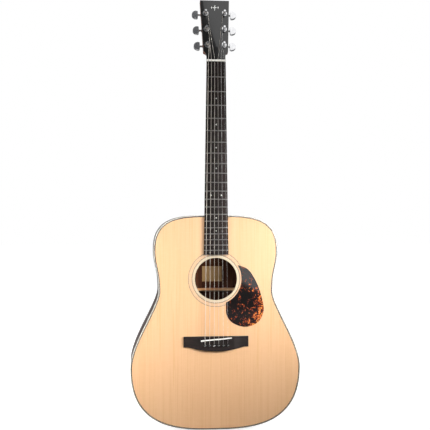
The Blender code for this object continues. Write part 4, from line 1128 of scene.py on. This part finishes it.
def make_fret(number):
    """A crowned wire that follows the camber, its ends filed to a slope."""
    z = fret_z(number)
    half = board_half_width(z)
    foot, steps = 0.0004, 16
    rings = []
    for i in range(steps + 1):
        x = -half + 2 * half * i / steps
        crown = foot + 0.00068 * min(1.0, (half - abs(x)) / FRET_SLOPE)
        low = board_y(x) + foot
        arc = [(x, board_y(x) - crown * sin(pi * j / 8) ** 0.8,
                z - FRET_HALF_WIDTH * cos(pi * j / 8)) for j in range(9)]
        rings.append([(x, low, z - FRET_HALF_WIDTH), *arc, (x, low, z + FRET_HALF_WIDTH)])
    rings[0] = [(x + GLUE_LINE, y, zz) for x, y, zz in rings[0]]
    slope = half - FRET_SLOPE
    rings.insert(1, [(-slope, y, zz) for _, y, zz in rings[1]])
    rings.insert(-1, [(slope, y, zz) for _, y, zz in rings[-2]])
    piece(f"fret_{number}", loft(f"fret_{number}", rings), "fret", smooth=50)


FRET_DOT = [(0, -0.0006), (0.0015, -0.0006), (0.0015, 0.00004), (0.0013, 0.00008), (0, 0.00008)]
SIDE_DOT = [(0, -0.0006), (0.0010, -0.0006), (0.0010, 0.00004), (0, 0.00004)]


def make_dot(name, profile, steps, place):
    piece(name, turned(name, profile, steps), "pearl", matrix=place)


def make_nut():
    """Bone nut with a slot for each string."""
    low = Vector((NUT_LOW.x, NUT_LOW.y - 0.0008, NUT_LOW.z))
    high = Vector((NUT_HIGH.x, TOP_Y - GLUE_LINE, NUT_HIGH.z))
    bottom, top = low.z - 0.001, high.z + 0.001
    slots = []
    for number, diameter in enumerate(STRING_DIAMETERS):
        x = across(number, NUT_SPACING)
        y = TOP_Y - NUT_ACTION - diameter / 2
        radius = diameter / 2 + 0.00012
        slots.append(cylinder(radius, (x, y, bottom), (x, y, top), 16))
        slots.append(block((x - radius, low.y - 0.002, bottom), (x + radius, y, top)))
    mesh = carved(bevelled(block(low, high), 0.0006), slots)
    piece("nut_bone", mesh, "bone", replaces=("nut",), smooth=30)


# ---------------------------------------------------------------- tuning machines

def housing_meshes():
    """Gear case, sleeve, washer and hexagonal nut, in tuner space."""
    front, face = -HEADSTOCK_THICKNESS, VENEER_THICKNESS
    case = bevelled(block((-0.0082, -0.0080, -0.0276), (0.0082, 0.0124, front)), 0.0032, 5, 40)
    cavity = block((-0.0070, -0.0068, -0.0264), (0.0070, 0.0112, front - 0.0012))
    throat = cylinder(0.0034, (0, 0, front - 0.004), (0, 0, front + 0.001))
    door = cylinder(0.0024, (0, WORM_OFFSET, WORM_DEPTH), (0.02, WORM_OFFSET, WORM_DEPTH))
    sleeve = tube([(0.0033, front), (0.0047, front), (0.0047, face + 0.0036),
                   (0.0033, face + 0.0036)])
    washer = tube([(0.0048, face), (0.0070, face), (0.0071, face + 0.0003),
                   (0.0066, face + 0.0009), (0.0048, face + 0.0010)])
    return {"case": carved(case, [cavity, throat, door]), "sleeve": sleeve, "washer": washer,
            "hex_nut": hexagon_nut(face + 0.0010, face + 0.0036)}


def tube(section):
    return loft("tube", [[(r * c, r * s, h) for r, h in section] for c, s in directions(40)],
                closed=True)


def hexagon_nut(low, high):
    """Six flats with their top corners turned off."""
    flat, bore, steps = 0.0052, 0.0046, 48
    rings = []
    for i, (c, s) in enumerate(directions(steps)):
        sector = (2 * pi * i / steps + pi / 6) % (pi / 3) - pi / 6
        outer = flat / cos(sector)
        shoulder = high - 0.0003 - (outer - flat) * 0.55
        section = [(bore, low), (outer, low), (outer, shoulder), (flat, high), (bore, high)]
        rings.append([(r * c, r * s, height) for r, height in section])
    return loft("hexagon_nut", rings, closed=True)


def post_mesh():
    """Capstan post with a string hole, its worm wheel inside the case."""
    profile = [(0, -0.0257), (0.0024, -0.0257), (0.0024, -0.0190), (0.0030, -0.0190),
               (0.0030, 0.0074), (0.0028, 0.0080), (0.0026, 0.0090), (0.0026, 0.0128),
               (0.0028, 0.0136), (0.0032, 0.0144), (0.0033, 0.0156), (0.0033, 0.0162),
               (0.0030, 0.0168), (0.0024, 0.0173), (0, 0.0173)]
    post = carved(turned("post", profile, 36),
                  [cylinder(0.0009, (-0.01, 0, 0.0137), (0.01, 0, 0.0137), 16)])
    teeth, tip, root, half_width = 14, 0.0039, 0.0033, 0.0025
    outline = [(tip * c, tip * s) if i % 4 < 2 else (root * c, root * s)
               for i, (c, s) in enumerate(directions(teeth * 4))]
    wheel = loft("wheel", [[(x, y, WORM_DEPTH + side * half_width) for x, y in outline]
                           for side in (-1, 1)])
    return merged("post", [post, wheel])


def knob_mesh():
    """Half-moon button on its shaft, with the worm at the inner end."""
    inner, outer, high = 0.0169, 0.0313, 0.0098
    steps = 28
    loop = []
    for angle in (-pi / 2 + pi * i / steps for i in range(steps + 1)):
        loop.append((inner + (outer - inner) * (0.24 + 0.76 * cos(angle)), high * sin(angle)))
    loop += [(inner + 0.0006, high * 0.90), (inner, high * 0.80), (inner, -high * 0.80),
             (inner + 0.0006, -high * 0.90)]
    button = bevelled(flat_sheet("button", [loop], 0.0084), 0.0026, 5, 50)
    shaft, thread = 0.0020, 0.0025
    profile = [(0, -0.0062), (shaft, -0.0062)]
    for turn in range(5):
        middle = -0.0048 + 0.0022 * turn
        profile += [(shaft, middle - 0.0009), (thread, middle - 0.0003),
                    (thread, middle + 0.0003), (shaft, middle + 0.0009)]
    profile += [(shaft, 0.0086), (0.0036, 0.0086), (0.0038, 0.0090), (0.0038, 0.0100),
                (0.0034, 0.0106), (0.0028, 0.0110), (0.0022, 0.0118), (0.0021, 0.0140),
                (0.0024, 0.0158), (0.0031, 0.0165), (0.0031, inner + 0.0010),
                (0, inner + 0.0010)]
    stem = turned("shaft", profile, 28)
    stem.transform(Matrix.Rotation(pi / 2, 4, "Y"))
    return merged("knob", [button, stem])


def make_tuners():
    """Six machines; those on the bass side are mirror images."""
    fixed = housing_meshes()
    post, knob = post_mesh(), knob_mesh()
    flip = Matrix.Diagonal((-1, 1, 1, 1))
    hands = {1: (fixed["case"], knob), -1: (moved(fixed["case"], flip), moved(knob, flip))}
    axis = Matrix.Translation((0, WORM_OFFSET, WORM_DEPTH))
    for string, number, place, hand in tuner_places():
        case, handed_knob = hands[hand]
        for part, mesh in {**fixed, "case": case}.items():
            nodes = ("tuner_housing_" + string,) if part == "case" else ()
            piece(f"{part}_{string}", mesh, "chrome", replaces=nodes, matrix=place)
        for part, mesh, spot in (("post", post, place), ("knob", handed_knob, place @ axis)):
            node = f"tuner_{part}_{string}"
            piece(f"{part}_{string}", mesh, "chrome", node, (node,), spot)
        make_screw(string, place)
        make_winding(string, number, place, hand)


def make_screw(string, place):
    """A small pan-head screw beside each gear case, with a cross slot."""
    head = turned("screw", [(0, 0), (0.0022, 0), (0.0022, 0.0005), (0.0018, 0.0012),
                            (0.0009, 0.0016), (0, 0.0017)], 28)
    slots = [block((-x, -y, 0.0009), (x, y, 0.003))
             for x, y in ((0.0015, 0.0003), (0.0003, 0.0015))]
    spot = Matrix.Translation((0, -0.0112, -HEADSTOCK_THICKNESS)) @ Matrix.Rotation(pi, 4, "X")
    piece("case_screw_" + string, carved(head, slots), "chrome", matrix=place @ spot)


def make_winding(string, number, place, hand):
    """Turns of string round the post, from where the string meets it up to the post's hole."""
    radius = STRING_DIAMETERS[number] / 2
    turns = 2.5 if number < 3 else 3.5
    steps, low, high = 22, 0.0088, 0.0132
    wrap = 0.0030 + radius
    pitch = min(2 * radius * 1.02, (high - low) / turns)
    curve = bpy.data.curves.new("winding_" + string, "CURVE")
    curve.dimensions = "3D"
    curve.bevel_depth = radius
    curve.bevel_resolution = 3
    curve.use_fill_caps = True
    spline = curve.splines.new("POLY")
    spline.points.add(int(turns * steps))
    for i, point in enumerate(spline.points):
        angle = (pi if hand > 0 else 0) + hand * 2 * pi * i / steps
        point.co = (wrap * cos(angle), wrap * sin(angle), low + pitch * i / steps, 1)
    piece("winding_" + string, curve, STRING_LOOKS[number], "tuner_post_" + string, (), place)


# ---------------------------------------------------------------- small pieces

def make_label():
    """Blank paper label on the inside of the back, under the soundhole."""
    half_width, half_height, paper = 0.0245, 0.0205, 0.0003
    z = above_tail(0.363)
    back = back_y(z) - BOARD_THICKNESS + 0.0014
    corners = [(back - paper, z - half_height), (back - paper, z + half_height),
               (back, z + half_height), (back, z - half_height)]
    rings = [[(-half_width + 2 * half_width * i / 12, y, height) for y, height in corners]
             for i in range(13)]
    piece("label", loft("label", rings), "paper")


def make_back_braces():
    """Ladder braces on the back, shaped to a narrow crest and scooped thin at their ends."""
    crest, scoop, steps = 0.0012, 0.030, 40
    for node in ("back_brace_upper", "back_brace_middle", "back_brace_lower"):
        low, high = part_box(node)
        middle = (low.z + high.z) / 2
        half = (high.z - low.z) / 2
        flank = [(0, half), (0.45, half * 0.80), (0.90, crest), (1, crest * 0.4)]
        section = [(0, -half), *flank, *((share, -reach) for share, reach in flank[:0:-1])]
        rings = []
        for i in range(steps + 1):
            x = low.x + (high.x - low.x) * i / steps
            end = min(1.0, (high.x - abs(x)) / scoop)
            tall = (high.y - low.y) * (0.35 + 0.65 * end * end * (3 - 2 * end))
            rings.append([(x, high.y - tall * share, middle + reach)
                          for share, reach in section])
        name = node + "_shaped"
        piece(name, loft(name, rings), "inner_spruce", replaces=(node,))


def make_strap_button():
    profile = rounded([(0, 0), (0.0055, 0), (0.0071, 0.0009), (0.0070, 0.0030),
                       (0.0040, 0.0046), (0.0041, 0.0078), (0.0066, 0.0105), (0.0060, 0.0110),
                       (0.0034, 0.0110)])
    profile += [(0.0034, 0.030), (0, 0.030)]
    piece("end_pin", turned("end_pin", profile), "black_plastic", replaces=("strap_button",))


def dress_kept_nodes():
    for look, nodes in (("inner_spruce", ("top_lining", "back_lining", "x_brace_bass",
                                          "x_brace_treble", "tone_bar", "transverse_brace")),
                        ("mahogany", ("neck_block", "tail_block")),
                        ("maple", ("bridge_plate",)),
                        ("steel", ("truss_rod", "truss_rod_nut"))):
        for node in nodes:
            dress(node, look)
    for string, look in zip(STRING_NAMES, STRING_LOOKS):
        mesh = NODES["string_" + string].data
        paint(mesh, look)
        mesh.shade_smooth()


# ---------------------------------------------------------------- stage

def make_stage():
    """A pale sweep of paper, lit to white."""
    bm = bmesh.new()
    bmesh.ops.create_grid(bm, x_segments=1, y_segments=1, size=12)
    floor = linked("floor", from_bmesh(bm, "floor"))
    floor.location = (0, 0, -0.0005)
    graph = Graph("floor_paper")
    graph.finish(graph.ramp(graph.grain(3), (0.3, (0.42, 0.42, 0.42)), (0.7, (0.46, 0.46, 0.46))),
                 0.9)
    glow = graph.add("ShaderNodeEmission", Color=(1.0, 1.0, 1.0), Strength=0.93)
    both = graph.add("ShaderNodeAddShader")
    plain = graph.shader.outputs["BSDF"]
    for socket, value in zip(both.inputs, (glow.outputs["Emission"], plain)):
        graph.plug(socket, value)
    graph.show(graph.nodes["Material Output"], both.outputs["Shader"], plain)
    floor.data.materials.append(graph.material)


FRONT_LEVEL = 0.12
BACK_LEVEL = 0.30


def make_world():
    """White to the eye; as a source of light dim in front of the guitar and bright behind."""
    world = bpy.data.worlds.new("studio")
    bpy.context.scene.world = world
    tree = Tree(world)
    tree.nodes.clear()
    direction = tree.add("ShaderNodeTexCoord").outputs["Generated"]
    depth = tree.add("ShaderNodeSeparateXYZ", Vector=direction).outputs["Y"]
    level = tree.spread(depth, FRONT_LEVEL, BACK_LEVEL, (-0.25, 0.45),
                        interpolation_type="SMOOTHSTEP")
    seen = tree.add("ShaderNodeBackground", Color=(1, 1, 1))
    lit = tree.add("ShaderNodeBackground", Color=(0.95, 0.97, 1.0), Strength=level)
    tree.show(tree.add("ShaderNodeOutputWorld"), seen.outputs["Background"],
              lit.outputs["Background"])


def area_light(name, place, aim, size, radiance, spread=180, color=(1, 1, 1), roll=None):
    """A softbox of the given radiance, where one unit is paper white.

    The spread is its cone in degrees. A card has a roll in place of an aim, and faces +Y.
    """
    light = bpy.data.lights.new(name, "AREA")
    light.shape = "RECTANGLE"
    light.size, light.size_y = size
    light.energy = 4 * size[0] * size[1] * radiance
    light.spread = radians(spread)
    light.color = color
    thing = linked(name, light)
    thing.visible_camera = False
    if roll is None:
        aimed = (Vector(aim) - Vector(place)).to_track_quat("-Z", "Y").to_matrix().to_4x4()
        thing.matrix_world = Matrix.Translation(place) @ aimed
    else:
        thing.location = place
        thing.rotation_euler = (pi / 2, radians(roll), 0)
    return thing


def make_lights():
    """Three lamps with soft cones, two cards whose edges show in polish, a glow inside."""
    area_light("key", (-0.772, -0.645, 0.70), (-0.50, TOP_Y, 0.430), (0.57, 0.57), 2.73, 47.7)
    area_light("right_fill", (0.809, -0.75, 0.777), (0.253, TOP_Y, 0.439), (0.50, 0.50), 2.18,
               38.4)
    neck_fill = area_light("neck_fill", (-0.95, -0.70, 1.00), (0.0, TOP_Y, 0.86), (0.40, 0.40),
                           1.35, 40)
    neck_fill.visible_glossy = False
    area_light("head_card", (1.00129, -1.2, 2.16903), None, (1.8, 1.8), 0.8, roll=-12.81)
    area_light("body_card", (0.98656, -2.6, 0.401155), None, (1.65, 1.0), 0.8, roll=27.5)
    area_light("inside_bounce", (-0.078, TOP_Y + 0.060, HOLE_CENTRE[1] + 0.005),
               (-0.030, TOP_Y + 0.110, HOLE_CENTRE[1]), (0.020, 0.06), 14.0,
               color=(1.0, 0.78, 0.55))


def make_camera():
    azimuth, distance = radians(-5.5), 1.90
    aim = Vector((-0.003, TOP_Y - 0.007, above_tail(0.508)))
    data = bpy.data.cameras.new("camera")
    data.sensor_width = 36
    data.lens = 67.5
    camera = linked("camera", data)
    offset = Vector((sin(azimuth), -cos(azimuth), 0)) * distance
    camera.location = aim + offset
    camera.rotation_euler = (-offset).to_track_quat("-Z", "Y").to_euler()
    bpy.context.scene.camera = camera


bpy.context.scene.view_settings.view_transform = "Standard"
for make in (make_camera, make_world, make_lights, make_stage, make_soundboard, make_trim,
             make_sides, make_back, make_soundhole, make_pickguard, make_bridge, make_neck,
             make_veneer, make_fretboard, make_nut, make_tuners, make_back_braces, make_label,
             make_strap_button, dress_kept_nodes):
    make()
